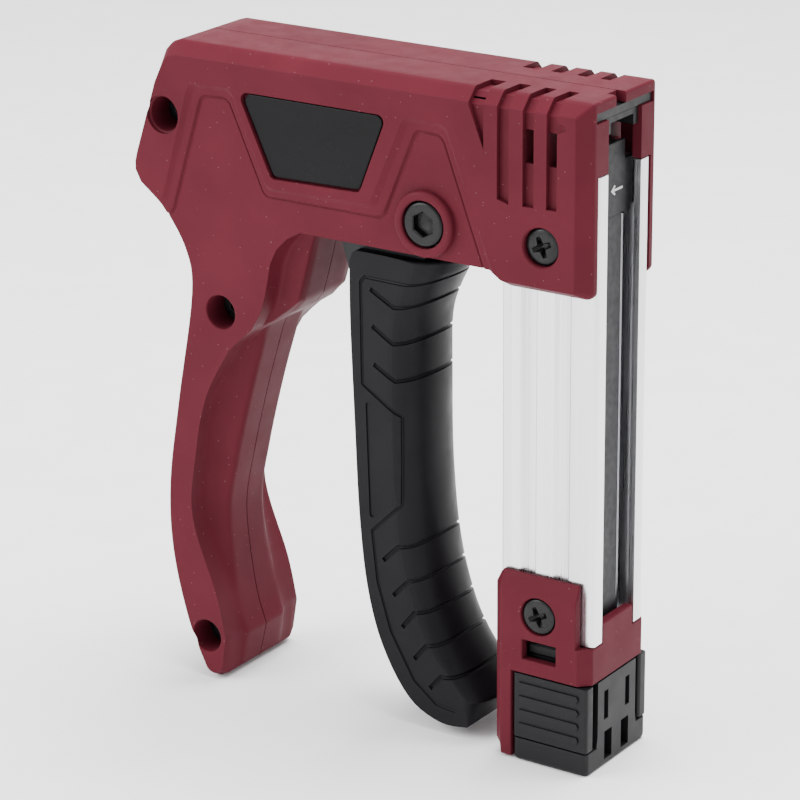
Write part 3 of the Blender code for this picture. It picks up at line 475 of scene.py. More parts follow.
def mirror_to(name, piece):
    """The same mesh on the other side of the seam."""
    mesh = piece.data.copy()
    mesh.transform(Matrix.Scale(-1, 4, Vector((0, 1, 0))))
    mesh.flip_normals()
    other = bpy.data.objects.new(name, mesh)
    bpy.context.scene.collection.objects.link(other)
    return other


# %% [markdown]
# ## The body halves: outer form
# Each half is a moulding whose side view is the tool's outline. Across its width it has a wide
# chamfer along the top and the nose and only a narrow one down the back. On the finger side of the
# grip the full width steps in to a narrow core, and the knuckle above it steps in further out. So
# every point of the outline has two places, one on the full section and one on the flat side face,
# and a table of levels says how far each has moved at each distance from the seam. Skinning those
# rings gives the chamfers and the hollowed grip in one go.

# %% Outline of a half
HALF = 18.2
BODY_TOP = 19.4
UNDERSIDE = -27.0
NOSE_BOTTOM = -31.1
CHAMFER = 3.5
SEAM = 0.15
WALL = 2.6

GRIP_BACK = [(7.4, -25.1), (15.4, -37), (17.3, -50), (11.8, -81), (7.9, -106), (8.2, -126),
             (12.8, -146), (18.8, -159.5)]
GRIP_FRONT = [(27.7, -150), (24.3, -138.7), (21.8, -116.2), (24.9, -98.7), (30.3, -78.1),
              (35.7, -60.5)]
GRIP_SIDE = [(26.0, -149), (23.1, -136), (15.6, -115), (17.0, -97), (21.1, -79), (29.6, -64)]


def heel(points):
    """Points (x, z) measured from the heel instead of the work face."""
    return [(HEEL + x, z) for x, z in points]


def heel_pairs(pairs):
    return [tuple(heel(pair)) for pair in pairs]


def shell_outline():
    """Pairs of places, full section and side face, in four stretches that step in differently."""
    top = BODY_TOP
    back = smooth(GRIP_BACK, 6)
    rear = [((0, top), (-CHAMFER, top - CHAMFER))]
    rear += heel_pairs([((15.1, top), (15.6, top - 3.5)), ((12.2, top - 0.9), (12.8, top - 4.3)),
                        ((10.1, top - 3.1), (11.1, top - 6.1)), ((8.9, top - 6.2), (10.0, top - 8.4)),
                        ((7.3, top - 10.9), (8.3, top - 11.8)), ((0.6, -12.5), (1.5, -12.8)),
                        ((0.0, -15.0), (0.9, -15.2)), ((0.1, -17.6), (0.9, -17.4)),
                        ((1.8, -21.0), (2.6, -20.6))])
    rear += list(zip(heel(back), heel([(x + 0.9, z + 0.2) for x, z in back])))
    rear += heel_pairs([((20.0, -161.4), (20.6, -159.6)), ((22.1, -161.9), (22.0, -159.9)),
                        ((25.2, -160.4), (24.2, -158.0))])
    scallop = list(zip(heel(smooth(GRIP_FRONT, 6)), heel(smooth(GRIP_SIDE, 6))))
    knuckle = heel_pairs([((37.0, -57.6), (33.1, -60.6)), ((42.5, -54.4), (37.2, -56.8)),
                          ((46.5, -51.8), (39.8, -52.0)), ((49.2, -48.6), (41.2, -47.5)),
                          ((50.6, -44.0), (42.4, -42.2)), ((52.0, -39.0), (43.4, -37.0)),
                          ((53.4, -33.5), (45.6, -32.8)), ((54.6, -29.5), (49.2, -29.4)),
                          ((55.1, UNDERSIDE), (53.6, UNDERSIDE))])
    under = [((-27.6, UNDERSIDE), (-28.2, UNDERSIDE)),
             ((-24.2, NOSE_BOTTOM), (-25.0, NOSE_BOTTOM + 2)),
             ((-1.2, NOSE_BOTTOM), (-CHAMFER - 0.6, NOSE_BOTTOM + 2)),
             ((0, NOSE_BOTTOM + 1.2), (-CHAMFER, NOSE_BOTTOM + 2.6))]
    return rear, scallop, knuckle, under


# Distance from the seam, share of the step on the grip, on the knuckle, and share of the chamfer.
LEVELS = [(SEAM, 0, 0, 0), (6.6, 0, 0, 0), (7.6, 0.025, 0, 0), (8.4, 0.09, 0, 0), (9.0, 0.24, 0.01, 0),
          (9.5, 0.43, 0.02, 0), (10.1, 0.60, 0.03, 0), (11.2, 0.75, 0.06, 0), (12.0, 0.81, 0.72, 0),
          (12.7, 0.86, 0.80, 0), (14.2, 0.915, 0.85, 0), (14.8, 0.93, 0.86, 0.05), (15.5, 0.94, 0.88, 0.22),
          (17.2, 0.955, 0.92, 0.72), (17.8, 0.97, 0.95, 0.89), (HALF, 1.0, 1.0, 1.0)]
KNUCKLE_BLEND = 4
PANELS = [-131, -122, -114.3, -103, -92, -81.6, -66, -56, -48.1, -37, -28, -24.5, -17.1, -13.4,
          -10.3, -6]


def divide(piece, places):
    """Split the large flat faces where holes will come, so that none of them is a ring round a hole."""
    data = bmesh.new()
    data.from_mesh(piece.data)
    for x in places:
        everything = data.verts[:] + data.edges[:] + data.faces[:]
        bmesh.ops.bisect_plane(data, geom=everything, plane_co=world(x, 0, 0), plane_no=(1, 0, 0))
    data.to_mesh(piece.data)
    data.free()
    return piece


def shell_form(name):
    rear, scallop, knuckle, under = shell_outline()
    rings = []
    for y, grip_share, knuckle_share, edge_share in LEVELS:
        pairs = [(pair, edge_share) for pair in rear] + [(pair, grip_share) for pair in scallop]
        for i, pair in enumerate(knuckle):
            turn = min(1.0, (i + 1) / KNUCKLE_BLEND)
            pairs.append((pair, grip_share + (knuckle_share - grip_share) * turn))
        pairs += [(pair, edge_share) for pair in under]
        rings.append([(full[0] + (side[0] - full[0]) * share, y, full[1] + (side[1] - full[1]) * share)
                      for (full, side), share in pairs])
    return divide(round_form(loft(name, rings), 0.7, keep_seam=0.4), PANELS)


# %% [markdown]
# ## The body halves: ledge, badge and vents
# The side face has a lower field with a stepped border of about 4 mm, which frames the badge and
# runs down into the grip. A cutter whose mouth is wider than its floor makes the steps, with a
# groove beside the inner field: a table gives how far each of its rings has gone inwards, and how
# deep it lies. The vents at the nose are slots that wrap from the side over the chamfer on to the
# top, so their cutter has the chamfer's own section. Two of them have windows through the wall.

# %% Side details of a half
LEDGE_DEPTH = 1.1
BADGE_DEPTH = 0.7
LEDGE_RIM = [((-150, -25), (-150, -29.2)), ((-132.3, -25), (-128.6, -29.2)),
             ((-122.4, 8.9), (-117.6, 5.2)), ((-108.3, 9.4), (-110.1, 5.6)),
             ((-97.2, -15.9), (-98.8, -19.2)), ((-65.0, -15.2), (-60.2, -19.3)),
             ((-54.2, 9.4), (-50.0, 5.5)), ((-41.4, 9.2), (-43.3, 5.1)),
             ((-27.4, -26.6), (-31.4, -26.6)), ((-27.4, -45), (-31.4, -45)),
             ((-60, -175), (-60, -175)), ((-150, -175), (-150, -175))]
LEDGE_STEPS = [(1.0, LEDGE_DEPTH), (0.96, 1.14), (0.91, 1.34), (0.83, 1.34), (0.74, 0.80), (0.66, 0.72),
               (0.36, 0.66), (0.26, 0.56), (0.05, 0.04), (0.0, -0.02), (0.0, -1.0)]
LEDGE_CORNERS = (3.4, 2.6)
BADGE = [(-106.2, 8.8), (-95.8, -13.4), (-67.9, -12.8), (-59.2, 8.8)]
# Each slot: where it starts and ends, and the height of its floor at both.
SLOTS = [(-34.6, -30.2, BODY_TOP - 4.2, 4.2), (-26.2, -22.8, -7.9, -8.9), (-18.7, -15.5, -8.7, -8.6),
         (-11.8, -8.8, -8.5, -8.4)]
SLOT_DEPTH = 1.4
SLOT_INNER = 7.35
WINDOW = (2.3, 11.0)
WINDOW_INNER = 11.9
MARK_BACK = -8.9
MARK = [(MARK_BACK, 14.9), (-4.9, 13.1), (MARK_BACK, 11.3)]
MARK_TAPER = 0.1


def ledge_cutter():
    outer, inner = (rounded([pair[k] for pair in LEDGE_RIM], LEDGE_CORNERS[k], 6) for k in (0, 1))
    rings = []
    for share, depth in LEDGE_STEPS:
        rings.append([(a + (c - a) * share, HALF - depth, b + (d - b) * share)
                      for (a, b), (c, d) in zip(outer, inner)])
    return loft("cutter", rings)


def vent_section(floor):
    top, edge = BODY_TOP, HALF - CHAMFER
    deep = HALF - SLOT_DEPTH
    return [(SLOT_INNER, top + 2), (HALF + 2, top + 2), (HALF + 2, floor), (deep, floor),
            (deep, top - CHAMFER - SLOT_DEPTH / 2), (edge - SLOT_DEPTH / 2, top - SLOT_DEPTH),
            (SLOT_INNER, top - SLOT_DEPTH)]


def vent_cutters():
    cutters = [loft("cutter", [[(x0, y, z) for y, z in vent_section(low)],
                               [(x1, y, z) for y, z in vent_section(high)]])
               for x0, x1, low, high in SLOTS]
    cutters += [block("cutter", slot[:2], (WINDOW_INNER, HALF), WINDOW) for slot in SLOTS[2:]]
    mouth = [(x, HALF + 0.6, z) for x, z in MARK]
    deep = [(MARK_BACK + (x - MARK_BACK) * MARK_TAPER, HALF - SLOT_DEPTH, z) for x, z in MARK]
    return cutters + [loft("cutter", [mouth, deep])]


# %% [markdown]
# ## The body halves: bores and pockets
# Behind the skin a half has room for the channel, the blade and the lever's frame, and bores for
# its screws. They show through the vents, from below and from the front, so they are cut here too,
# at the same sizes as in the working model.

# %% Inner cuts of a half
PIVOT = (-48.1, -18.0)
BOLT_RECESS = 6.4
SLEEVE_HOLE = 4.3
BOSS = 8.8
SHANK_HOLE = 2.3
SCREW_SINK = 3.2
HEAD_HOLE = 5.1
HEEL_SEAT = 7.6
CHANNEL_HALF = channel_high.y / MM
CHANNEL_SEAT = CHANNEL_HALF + 0.3
LIP_INNER = CHANNEL_HALF - 4.5
CHANNEL_BACK = channel_low.x / MM - FACE
NOSE_SCREW = (-13.4, -18.6)
PLATE = (13.9, 16.6)
PLATE_HALF = 13.9
HEEL_SCREWS = heel([(10.6, -1.0), (27.3, -53.5), (19.6, -149.7)])
ANCHOR = (HEEL + 27.6, 7.0)


def inner_cuts():
    back, mouth = CHANNEL_BACK - 0.3, -WALL - 1
    roof = BODY_TOP - WALL
    heel_x = HEEL + 19.6
    cavity = [(back - 1.7, roof), (heel_x, roof), (heel_x, -14), (heel_x + 16, UNDERSIDE + WALL),
              (back - 1.7, UNDERSIDE + WALL)]
    hollow = [(x + 3.2, z) for x, z in smooth(GRIP_BACK, 2)[6:11]]
    hollow += [(x - 3.2, z) for x, z in smooth(GRIP_FRONT, 2)[3:9]]
    return [
        prism("cutter", cavity, -1, HALF - WALL),
        block("cutter", (-86.0, -34.0), (-1, 14.2), (UNDERSIDE - 1, UNDERSIDE + WALL + 1)),
        prism("cutter", heel(hollow), -1, 5.6),
        block("cutter", (back, -WALL), (-1, CHANNEL_SEAT), (NOSE_BOTTOM - 1, 0.3)),
        block("cutter", (back - 3, -WALL), (-1, CHANNEL_SEAT), (0, roof)),
        block("cutter", (mouth, 1), (-1, CHANNEL_SEAT), (NOSE_BOTTOM - 1, 0.3)),
        block("cutter", (mouth, 1), (-1, LIP_INNER), (0, PLATE[0] + 0.1)),
        block("cutter", (-25.4, 1), (-1, PLATE_HALF), PLATE),
        bore("cutter", [(SLEEVE_HOLE, -1), (SLEEVE_HOLE, HALF - SCREW_SINK), (BOLT_RECESS, HALF - SCREW_SINK),
                        (BOLT_RECESS, HALF + 0.6), (BOLT_RECESS + 0.4, HALF + 0.92),
                        (BOLT_RECESS + 0.4, HALF + 5)], PIVOT),
        hole(SHANK_HOLE, -1, HALF - WALL + 0.9, (ANCHOR[0], 0, ANCHOR[1])),
        bore("cutter", [(SHANK_HOLE, 0), (SHANK_HOLE, HALF - SCREW_SINK), (HEAD_HOLE, HALF - SCREW_SINK),
                        (HEAD_HOLE, HALF - 0.4), (HEAD_HOLE + 0.35, HALF + 0.02),
                        (HEAD_HOLE + 0.35, HALF + 5)], NOSE_SCREW),
    ]


# %% Put a half together
def shell_half(name):
    piece = cut(shell_form(name), ledge_cutter())
    ring = bore("boss", [(BOSS, HALF - 2), (BOSS, HALF - 0.1), (BOSS - 0.1, HALF + 0.35),
                         (BOSS - 0.4, HALF + 0.68), (BOSS - 0.9, HALF + 0.85), (BOSS - 1.4, HALF + 0.9)],
                PIVOT, sides=64)
    piece = join(piece, ring)
    badge_recess = prism("cutter", rounded(BADGE, 2.0), HALF - LEDGE_DEPTH - BADGE_DEPTH, HALF + 5)
    return cut(piece, badge_recess, *inner_cuts(), *vent_cutters())


right_body = shell_half("right_body_half")
left_body = mirror_to("left_body_half", right_body)
for x, z in HEEL_SCREWS:
    face = HALF - LEDGE_DEPTH
    flared = [(5.2, -HALF - 5), (5.2, -face - 0.02), (4.8, -face + 0.18), (4.6, -face + 0.6),
              (4.6, -HEEL_SEAT), (SHANK_HOLE, -HEEL_SEAT), (SHANK_HOLE, 1)]
    cut(left_body, bore("cutter", flared, (x, z)))
    cut(right_body, hole(SHANK_HOLE, -1, 8.3, (x, 0, z)))
cut(left_body, block("cutter", (-2.7, 1), (-4.6, 1), (16.3, BODY_TOP + 1)))
for piece, node in ((right_body, "right_shell"), (left_body, "left_shell")):
    crisp(piece, steps=True)
    fit(piece, shell_red, "housing", node)
    print(piece.name, len(piece.data.polygons), "faces")

# %% [markdown]
# ## Badge plates
# Each side has a plate let into the raised field. It is left blank here. A thin raised border and a
# smoother finish set it off from the matte body, and a stack of rings makes both.

# %% Badge plates
BADGE_PLATE = [(-105.2, 8.3), (-95.3, -12.8), (-68.4, -12.2), (-60.2, 8.3)]


def badge_plate(name):
    floor = HALF - LEDGE_DEPTH - BADGE_DEPTH + 0.3
    face = HALF - 0.6
    middle = Vector((-82.6, -2.0))
    rings = []
    for scale, y in ((1, floor), (1, face - 0.12), (0.985, face), (0.965, face), (0.955, face - 0.08)):
        outline = [tuple(middle + (Vector(p) - middle) * scale) for p in BADGE_PLATE]
        rings.append([(x, y, z) for x, z in rounded(outline, 1.9)])
    return loft(name, rings)


right_badge = badge_plate("right_badge")
left_badge = mirror_to("left_badge", right_badge)
for piece, node in ((right_badge, "right_badge_plate"), (left_badge, "left_badge_plate")):
    crisp(piece)
    fit(piece, badge_black, "housing", node)

# %% [markdown]
# ## Screws and the pivot bolt
# The side screws have a low domed head with a cross recess, the screws that close the halves sit
# deep in their bores with a six-sided socket, and the pivot is a broad flat-headed bolt. A dome is
# a turned profile that follows part of a circle. The recess is cut with tapered blades.

# %% Fastener shapes
def dome(head, rise, face, side, steps=6):
    """(radius, level) pairs from the crown of a domed head down to its edge."""
    return [(head * math.sin(math.pi / 2 * k / steps) + 0.02,
             side * (face - rise * (1 - math.cos(math.pi / 2 * k / steps)))) for k in range(steps + 1)]


def cross(arm, half, turn):
    """A cross outline with flared arms, turned by some degrees."""
    quarter = [(half * 1.25, half * 1.25), (half, arm), (-half, arm)]
    out = []
    for k in range(4):
        angle = math.radians(turn + 90 * k)
        out += [(x * math.cos(angle) - y * math.sin(angle), x * math.sin(angle) + y * math.cos(angle))
                for x, y in quarter]
    return out


def cross_screw(name, centre, face, side, reach):
    head, shank = 4.8, 2.0
    under = face - 2.1
    profile = dome(head, 0.9, face, side)
    profile += [(head, side * under), (shank, side * under), (shank, side * reach)]
    body = bore(name, profile, centre)
    rings = [[(centre[0] + x, side * level, centre[1] + z) for x, z in cross(arm, half, 24)]
             for arm, half, level in ((3.1, 0.8, face + 0.6), (2.7, 0.6, face - 0.5), (1.0, 0.3, face - 1.9))]
    return soften(cut(body, loft("cutter", rings)), 0.08)


def socket_screw(name, centre, face, side, reach, head, shank, socket, edge):
    profile = [(head - edge, side * face), (head - edge * 0.3, side * (face - edge * 0.3)),
               (head, side * (face - edge)), (head, side * (face - 2.4)), (shank, side * (face - 2.4)),
               (shank, side * reach)]
    body = bore(name, profile, centre)
    hexagon = bore("cutter", [(socket * 0.15, side * (face - 2.3)), (socket, side * (face - 1.9)),
                              (socket, side * (face + 1))], centre, sides=6)
    return soften(cut(body, hexagon), 0.12)


# %% Set the fasteners
for label, point in zip(("rear", "upper_grip", "lower_grip"), HEEL_SCREWS):
    screw = socket_screw(label + "_screw", point, face=10.3, side=-1, reach=-7.7, head=4.1, shank=2.0,
                         socket=1.9, edge=0.5)
    fit(screw, screw_black, "housing", label + "_shell_screw")
CAP_SIDE = cap_high.y / MM + 0.1
FOOT = channel_low.z / MM - DECK
FOOT_SCREW = (-15.0, FOOT + 6.3)
SCREW_END = 11.0
for label, side in (("left", -1), ("right", 1)):
    nose = cross_screw(label + "_nose_cross_screw", NOSE_SCREW, HALF - 0.5, side, SCREW_END)
    fit(nose, screw_black, "housing", label + "_nose_screw")
    foot = cross_screw(label + "_foot_cross_screw", FOOT_SCREW, CAP_SIDE + 0.15, side, SCREW_END)
    fit(foot, screw_black, "housing", label + "_end_cap_screw")

# %% [markdown]
# ## The pivot
# A sleeve passes through both halves and the lever turns on it. A bolt is screwed into each of its
# ends. The visible face is a flat disc with a rolled edge and a wide hexagon socket.

# %% Pivot bolt and its mate
for label, node, side in (("pivot_bolt_head", "pivot_bolt", -1), ("pivot_bolt_mate", "pivot_nut", 1)):
    face = HALF + 0.6
    profile = [(4.9, face), (5.5, face - 0.12), (5.85, face - 0.4), (6.0, face - 0.9), (6.0, 15.3),
               (2.2, 15.3), (2.2, 1.0)]
    bolt = bore(label, [(r, side * y) for r, y in profile], PIVOT, sides=64)
    socket = [(0.6, face - 3.0), (3.3, face - 2.5), (3.3, face - 0.4), (3.75, face + 0.1), (3.75, face + 1)]
    sockets = bore("cutter", [(r, side * y) for r, y in socket], PIVOT, sides=6)
    soften(cut(bolt, sockets), 0.12)
    fit(bolt, screw_black, "housing", node)
print("fasteners made:", len(made_pieces))

# %% [markdown]
# ## The magazine channel
# An aluminium extrusion has the same section all the way along: a C with lips at the front, two
# thin guide walls inside for the legs of the staples, and lines in its sides. It is extruded here
# too, as one outline along Z. The lines in the side are steps, shallow grooves and two narrow slits.

# %% Magazine channel
def channel_outline():
    half, wall, lip = CHANNEL_HALF, 2.2, LIP_INNER
    back = CHANNEL_BACK
    inner = back + wall
    guide_end, guide_low, guide_high = -4.8, 7.0, 7.8
    right = [(inner, 0), (inner, guide_low), (guide_end, guide_low), (guide_end, guide_high),
             (inner, guide_high), (inner, half - wall), (-1.9, half - wall), (-1.9, lip), (0, lip),
             (0, half - 0.9), (-0.3, half - 0.4), (-0.9, half - 0.1)]
    # Places along the side with their depths, and two grooved strips with a slit in front of each.
    flat, slit, strip, floor = 0.05, 1.5, 0.62, 0.75
    side = [(-1.8, 0), (-2.4, flat), (-7.6, flat)]
    for x, following in ((-7.6, -13.6), (-17.6, -24.6)):
        side += [(x - 0.02, slit), (x - 0.38, slit), (x - 0.4, strip), (x - 1.4, strip), (x - 2.5, strip),
                 (x - 2.7, floor), (x - 3.8, floor), (x - 4.9, flat), (following, flat),
                 (following - 0.2, 0.12), (following - 0.7, 0.12)]
        side += [(following - 0.9, flat), (-17.6, flat)] if x > -10 else [(following - 0.9, 0.0)]
    right += [(x, half - depth) for x, depth in side]
    right += [(back + 0.4, half), (back, half - 0.4)]
    return [(x, -y) for x, y in reversed(right)] + right[1:]


channel = prism("magazine_extrusion", channel_outline(), channel_low.z / MM - DECK, 0, along="Z")
for x, z in (NOSE_SCREW, FOOT_SCREW):
    for side in (-1, 1):
        cut(channel, hole(SHANK_HOLE, side * (CHANNEL_HALF - 3), side * (CHANNEL_HALF + 1), (x, 0, z)))
soften(channel, 0.07)
fit(channel, aluminium, "housing", "magazine_channel")
print("channel length", round((channel_high.z - channel_low.z) / MM, 1), "mm")

# %% [markdown]
# ## The end cap
# A red moulding holds the foot of the channel. Its sides rise along the channel with a sloping
# upper edge, a window shows the drawer's catch, and a leg runs down behind the drawer's cap.

# %% End cap
END_HALF = CAP_SIDE
CAP_BOTTOM = ground(25.4)
CAP_BACK = -29.4
BEVEL = 3.0
DRAWER_CAP_BACK = -22.7


def end_cap():
    plan = [(CAP_BACK + BEVEL, -END_HALF), (-BEVEL, -END_HALF), (0, -END_HALF + BEVEL), (0, END_HALF - BEVEL),
            (-BEVEL, END_HALF), (CAP_BACK + BEVEL, END_HALF), (CAP_BACK, END_HALF - BEVEL),
            (CAP_BACK, -END_HALF + BEVEL)]
    top, slope_height, slope_side, slope_back = FOOT + 17.0, 4.4, 2.0, 1.6
    inset = [(x + (slope_back if x < CAP_BACK + 1 else 0), y * (1 - slope_side / END_HALF)) for x, y in plan]
    rings = [[(x, y, CAP_BOTTOM) for x, y in plan], [(x, y, top - slope_height) for x, y in plan],
             [(x, y, top) for x, y in inset]]
    piece = loft("magazine_end_cap", rings)
    front = DRAWER_CAP_BACK - 0.4
    leg = [(front, -END_HALF), (front, END_HALF)] + plan[5:] + plan[:1]
    foot = [(max(x, CAP_BACK + 2.0) if x < front else x, y * 0.985) for x, y in leg]
    piece = join(piece, loft("leg", [[(x, y, ground(0.6)) for x, y in foot],
                                     [(x, y, ground(4.0)) for x, y in leg],
                                     [(x, y, CAP_BOTTOM + 1) for x, y in leg]]))
    lip, seat, mouth = LIP_INNER - 0.3, CHANNEL_SEAT, -WALL - 1
    low = FOOT - 0.3
    cutters = [block("cutter", (CHANNEL_BACK - 0.3, -WALL), (-seat, seat), (low, top + 1)),
               block("cutter", (mouth, 1), (-END_HALF - 1, -lip), (low, top + 1)),
               block("cutter", (mouth, 1), (lip, END_HALF + 1), (low, top + 1)),
               block("cutter", (mouth, 1), (-lip - 1, lip + 1), (FOOT + 5.3, top + 1)),
               block("cutter", (DRAWER_CAP_BACK, -2.9), (-seat, seat), (CAP_BOTTOM - 1, FOOT)),
               block("cutter", (-19.8, -9.6), (-END_HALF - 1, END_HALF + 1), (FOOT - 6.5, FOOT - 1.0))]
    seated = END_HALF - 2.55
    recess = [(SHANK_HOLE, seat - 2), (SHANK_HOLE, seated), (5.2, seated), (5.2, END_HALF + 3)]
    for side in (-1, 1):
        cutters.append(bore("cutter", [(r, side * y) for r, y in recess], FOOT_SCREW))
    return cut(piece, *cutters)


foot_cap = soften(end_cap(), 0.4)
fit(foot_cap, shell_red, "housing", "end_cap")

# %% [markdown]
# ## The drawer's cap and its latches
# The drawer is pulled out by a black cap at the foot. On each side a ribbed finger bends in to free
# it. The front shows the gaps beside the fingers and two rows of slots from the mould.

# %% Drawer cap
ARM_FOOT = ground(6.8)
CAP_TOP = ground(25.1)
ARM_OUTSIDE = CAP_SIDE - 0.1
ARM_INSIDE = ARM_OUTSIDE - 3.85
CORE_HALF = ARM_INSIDE - 2.0
RAIL_PIN = (-8.5, 0, ground(14.0))
PIN_HOLE = 1.8


def drawer_cap():
    half, bevel = ARM_OUTSIDE, 1.6
    plan = rounded([(DRAWER_CAP_BACK, -half), (0, -half), (0, half), (DRAWER_CAP_BACK, half)], bevel, 4)
    foot = [(DRAWER_CAP_BACK / 2 + (x - DRAWER_CAP_BACK / 2) * 0.97, y * 0.95) for x, y in plan]
    rings = [[(x, y, ground(0.0)) for x, y in foot], [(x, y, ground(1.0)) for x, y in plan],
             [(x, y, ARM_FOOT - 0.3) for x, y in plan]]
    piece = round_form(loft("drawer_cap", rings), 0.4, 2)
    core = [(DRAWER_CAP_BACK, -CORE_HALF), (0, -CORE_HALF), (0, CORE_HALF), (DRAWER_CAP_BACK, CORE_HALF)]
    wide = [(x, y * 1.12) for x, y in core]
    piece = join(piece, loft("core", [[(x, y, ground(3.0)) for x, y in wide],
                                      [(x, y, ground(9.5)) for x, y in core],
                                      [(x, y, CAP_TOP) for x, y in core]]))
    cutters = [block("cutter", (-16.3, -2.9), (-5.1, 5.1), (ground(8.6), CAP_TOP + 1)),
               hole(PIN_HOLE, -CORE_HALF - 1, CORE_HALF + 1, RAIL_PIN)]
    for side in (-1, 1):
        for near, far, low, high in ((4.4, 6.5, 13.4, 21.6), (2.4, 6.2, 1.9, 9.9)):
            across = sorted((side * near, side * far))
            cutters.append(block("cutter", (-2.2, 1), across, (ground(low), ground(high))))
    return cut(piece, *cutters)


cap = crisp(drawer_cap())
fit(cap, cap_black, "drawer", "magazine_cap")


# %% Ribbed latches
def latch(name, side):
    outside, back = ARM_OUTSIDE, DRAWER_CAP_BACK + 0.2
    outline = rounded([(back, ARM_INSIDE), (0, ARM_INSIDE), (0, outside), (back, outside)], 0.9, 4)
    arm = round_form(prism(name, [(x, side * y) for x, y in outline], ARM_FOOT, CAP_TOP, along="Z"), 0.3, 2)
    ribs = []
    rib_start, pitch, height, rear, front = 2.4, 3.9, 1.9, -20.5, -2.9
    for k in range(4):
        z = ARM_FOOT + rib_start + pitch * k
        section = [(rear, z), (front, z), (front + 0.5, z + 0.9), (front, z + height), (rear, z + height)]
        ribs.append(prism("rib", section, *sorted((side * (outside - 0.4), side * (outside + 0.48)))))
    hook, inner = CHANNEL_HALF - 0.2, CHANNEL_HALF - 2.4
    low, top, lip = CAP_TOP - 3.0, FOOT - 1.0, FOOT - 4.4
    neck = hook - 0.6
    section = [(ARM_INSIDE, low), (neck, low), (neck, lip - 1.8), (hook, lip - 1.0), (hook, lip + 1.0),
               (neck, lip + 1.8), (neck, top), (inner, top), (inner, CAP_TOP + 0.3),
               (ARM_INSIDE, CAP_TOP + 0.3)]
    stem = prism("stem", [(side * y, z) for y, z in section], -19.4, -10.0, along="X")
    return join(arm, *ribs, stem)


for label, side in (("left", -1), ("right", 1)):
    finger = crisp(latch(label + "_ribbed_latch", side))
    fit(finger, cap_black, "latch_" + label, label + "_latch")

# %% [markdown]
# ## The staple rail
# Behind the channel's lips stands a folded black rail. It is narrow where the staples straddle it
# and wide at the nose. The folds are rounded outside and inside, so its section is drawn with short
# arcs. A small arrow printed near its top shows which way the staples face.

# %% Staple rail
RAIL_FRONT = -3.2


def rail():
    front, sheet, half, depth = RAIL_FRONT, 1.0, 4.8, 12.8
    back = front - depth
    outer = rounded([(back, -half), (front, -half), (front, half), (back, half)], 0.8, 4)[6:-6]
    inner = rounded([(back, -half + sheet), (front - sheet, -half + sheet), (front - sheet, half - sheet),
                     (back, half - sheet)], 0.4, 3)[5:-5]
    section = [(back, -half)] + outer + [(back, half), (back, half - sheet)]
    section += inner[::-1] + [(back, -half + sheet)]
    low, high, crown, wide, neck = -14.0, 0.6, 5.8, 9.6, 5.6
    piece = prism("folded_rail", section, ground(9.0), low + 0.6, along="Z")
    right = [(half, low), (wide - 2.2, low), (wide, low + 2.2), (wide, high), (neck, high), (neck, crown)]
    head = right + [(-y, z) for y, z in reversed(right)]
    plate = prism("plate", head, front - sheet, front, along="X")
    roof = block("roof", (-14.5, front - sheet / 2), (-3.5, 3.5), (crown - sheet, crown))
    piece = join(piece, plate, roof)
    cutters = [hole(0.9, front - 2, front + 1, (0, side * half, low), "X") for side in (-1, 1)]
    return cut(piece, *cutters, hole(PIN_HOLE, -half - 2, half + 2, RAIL_PIN))


rail_piece = soften(rail(), 0.15)
fit(rail_piece, black_steel, "drawer", "staple_rail")

# %% [markdown]
# ## The arrow
# The print is a thin film of pale ink, drawn as a flat outline a few hundredths of a millimetre
# thick, so that it shows from any side without a picture.

# %% Printed arrow
pale_ink = moulded("pale_ink", (0.50, 0.50, 0.50), (0.62, 0.62, 0.62), 0.6, 2600, 0.00001)
ARROW = [(-1.2, 0), (0.5, 1.35), (0.9, 1.0), (0.1, 0.28), (4.4, 0.28), (4.4, -0.28), (0.1, -0.28),
         (0.9, -1.0), (0.5, -1.35)]
ARROW_DROP = 6.6
INK = 0.06
arrow = prism("feed_arrow", [(y, z - ARROW_DROP) for y, z in ARROW], RAIL_FRONT, RAIL_FRONT + INK, along="X")
arrow.data.materials.append(pale_ink)
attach(arrow, "drawer")

# %% [markdown]
# ## The lever's cover
# The lever is a moulding that goes round a steel frame: flat sides, a front that is part of an
# ellipse so that it suits the fingers, and an open back. It is lofted from side to side, and each
# ring is the side outline with its front drawn back by the ellipse.

# %% Form of the lever's cover
LEVER_BACK = [(-75.2, -33.5), (-75.2, -50), (-74.2, -77), (-73.0, -104), (-70.6, -125), (-65.8, -141),
              (-57.5, -154), (-47.5, -159), (-38.5, -158.4)]
LEVER_FRONT = [(-33.4, -151), (-40.0, -142.5), (-46.6, -131), (-51.7, -113), (-54.0, -90), (-54.3, -66),
               (-54.0, -50), (-51.2, -41), (-47.5, -34)]
LEVER_HALF = 12.5
LEVER_NOSE = 9.0
LEVER_TOP = -30.5
TOP_BACK = -74.0
TOP_FRONT = -46.5
FRAME_HALF = 9.8
SLICES = 24
back_curve = smooth(LEVER_BACK, 5)
front_curve = smooth(LEVER_FRONT, 5)


def draw_back(y):
    """How far the rounded front draws back at a distance from the seam."""
    return LEVER_NOSE * (1 - math.sqrt(max(0.0, 1 - (y / LEVER_HALF) ** 2)))


def front_x(z):
    """The lever's front edge on the seam, at a height."""
    for (x0, z0), (x1, z1) in zip(front_curve, front_curve[1:]):
        if z0 <= z <= z1:
            return x0 + (x1 - x0) * (z - z0) / (z1 - z0)
    return front_curve[0 if z < front_curve[0][1] else -1][0]


def side_y(x, z):
    """How far the lever's surface is from the seam, at a place in its side view."""
    drawn = 1 - (front_x(z) - x) / LEVER_NOSE
    return LEVER_HALF * math.sqrt(1 - min(1.0, max(0.0, drawn)) ** 2)


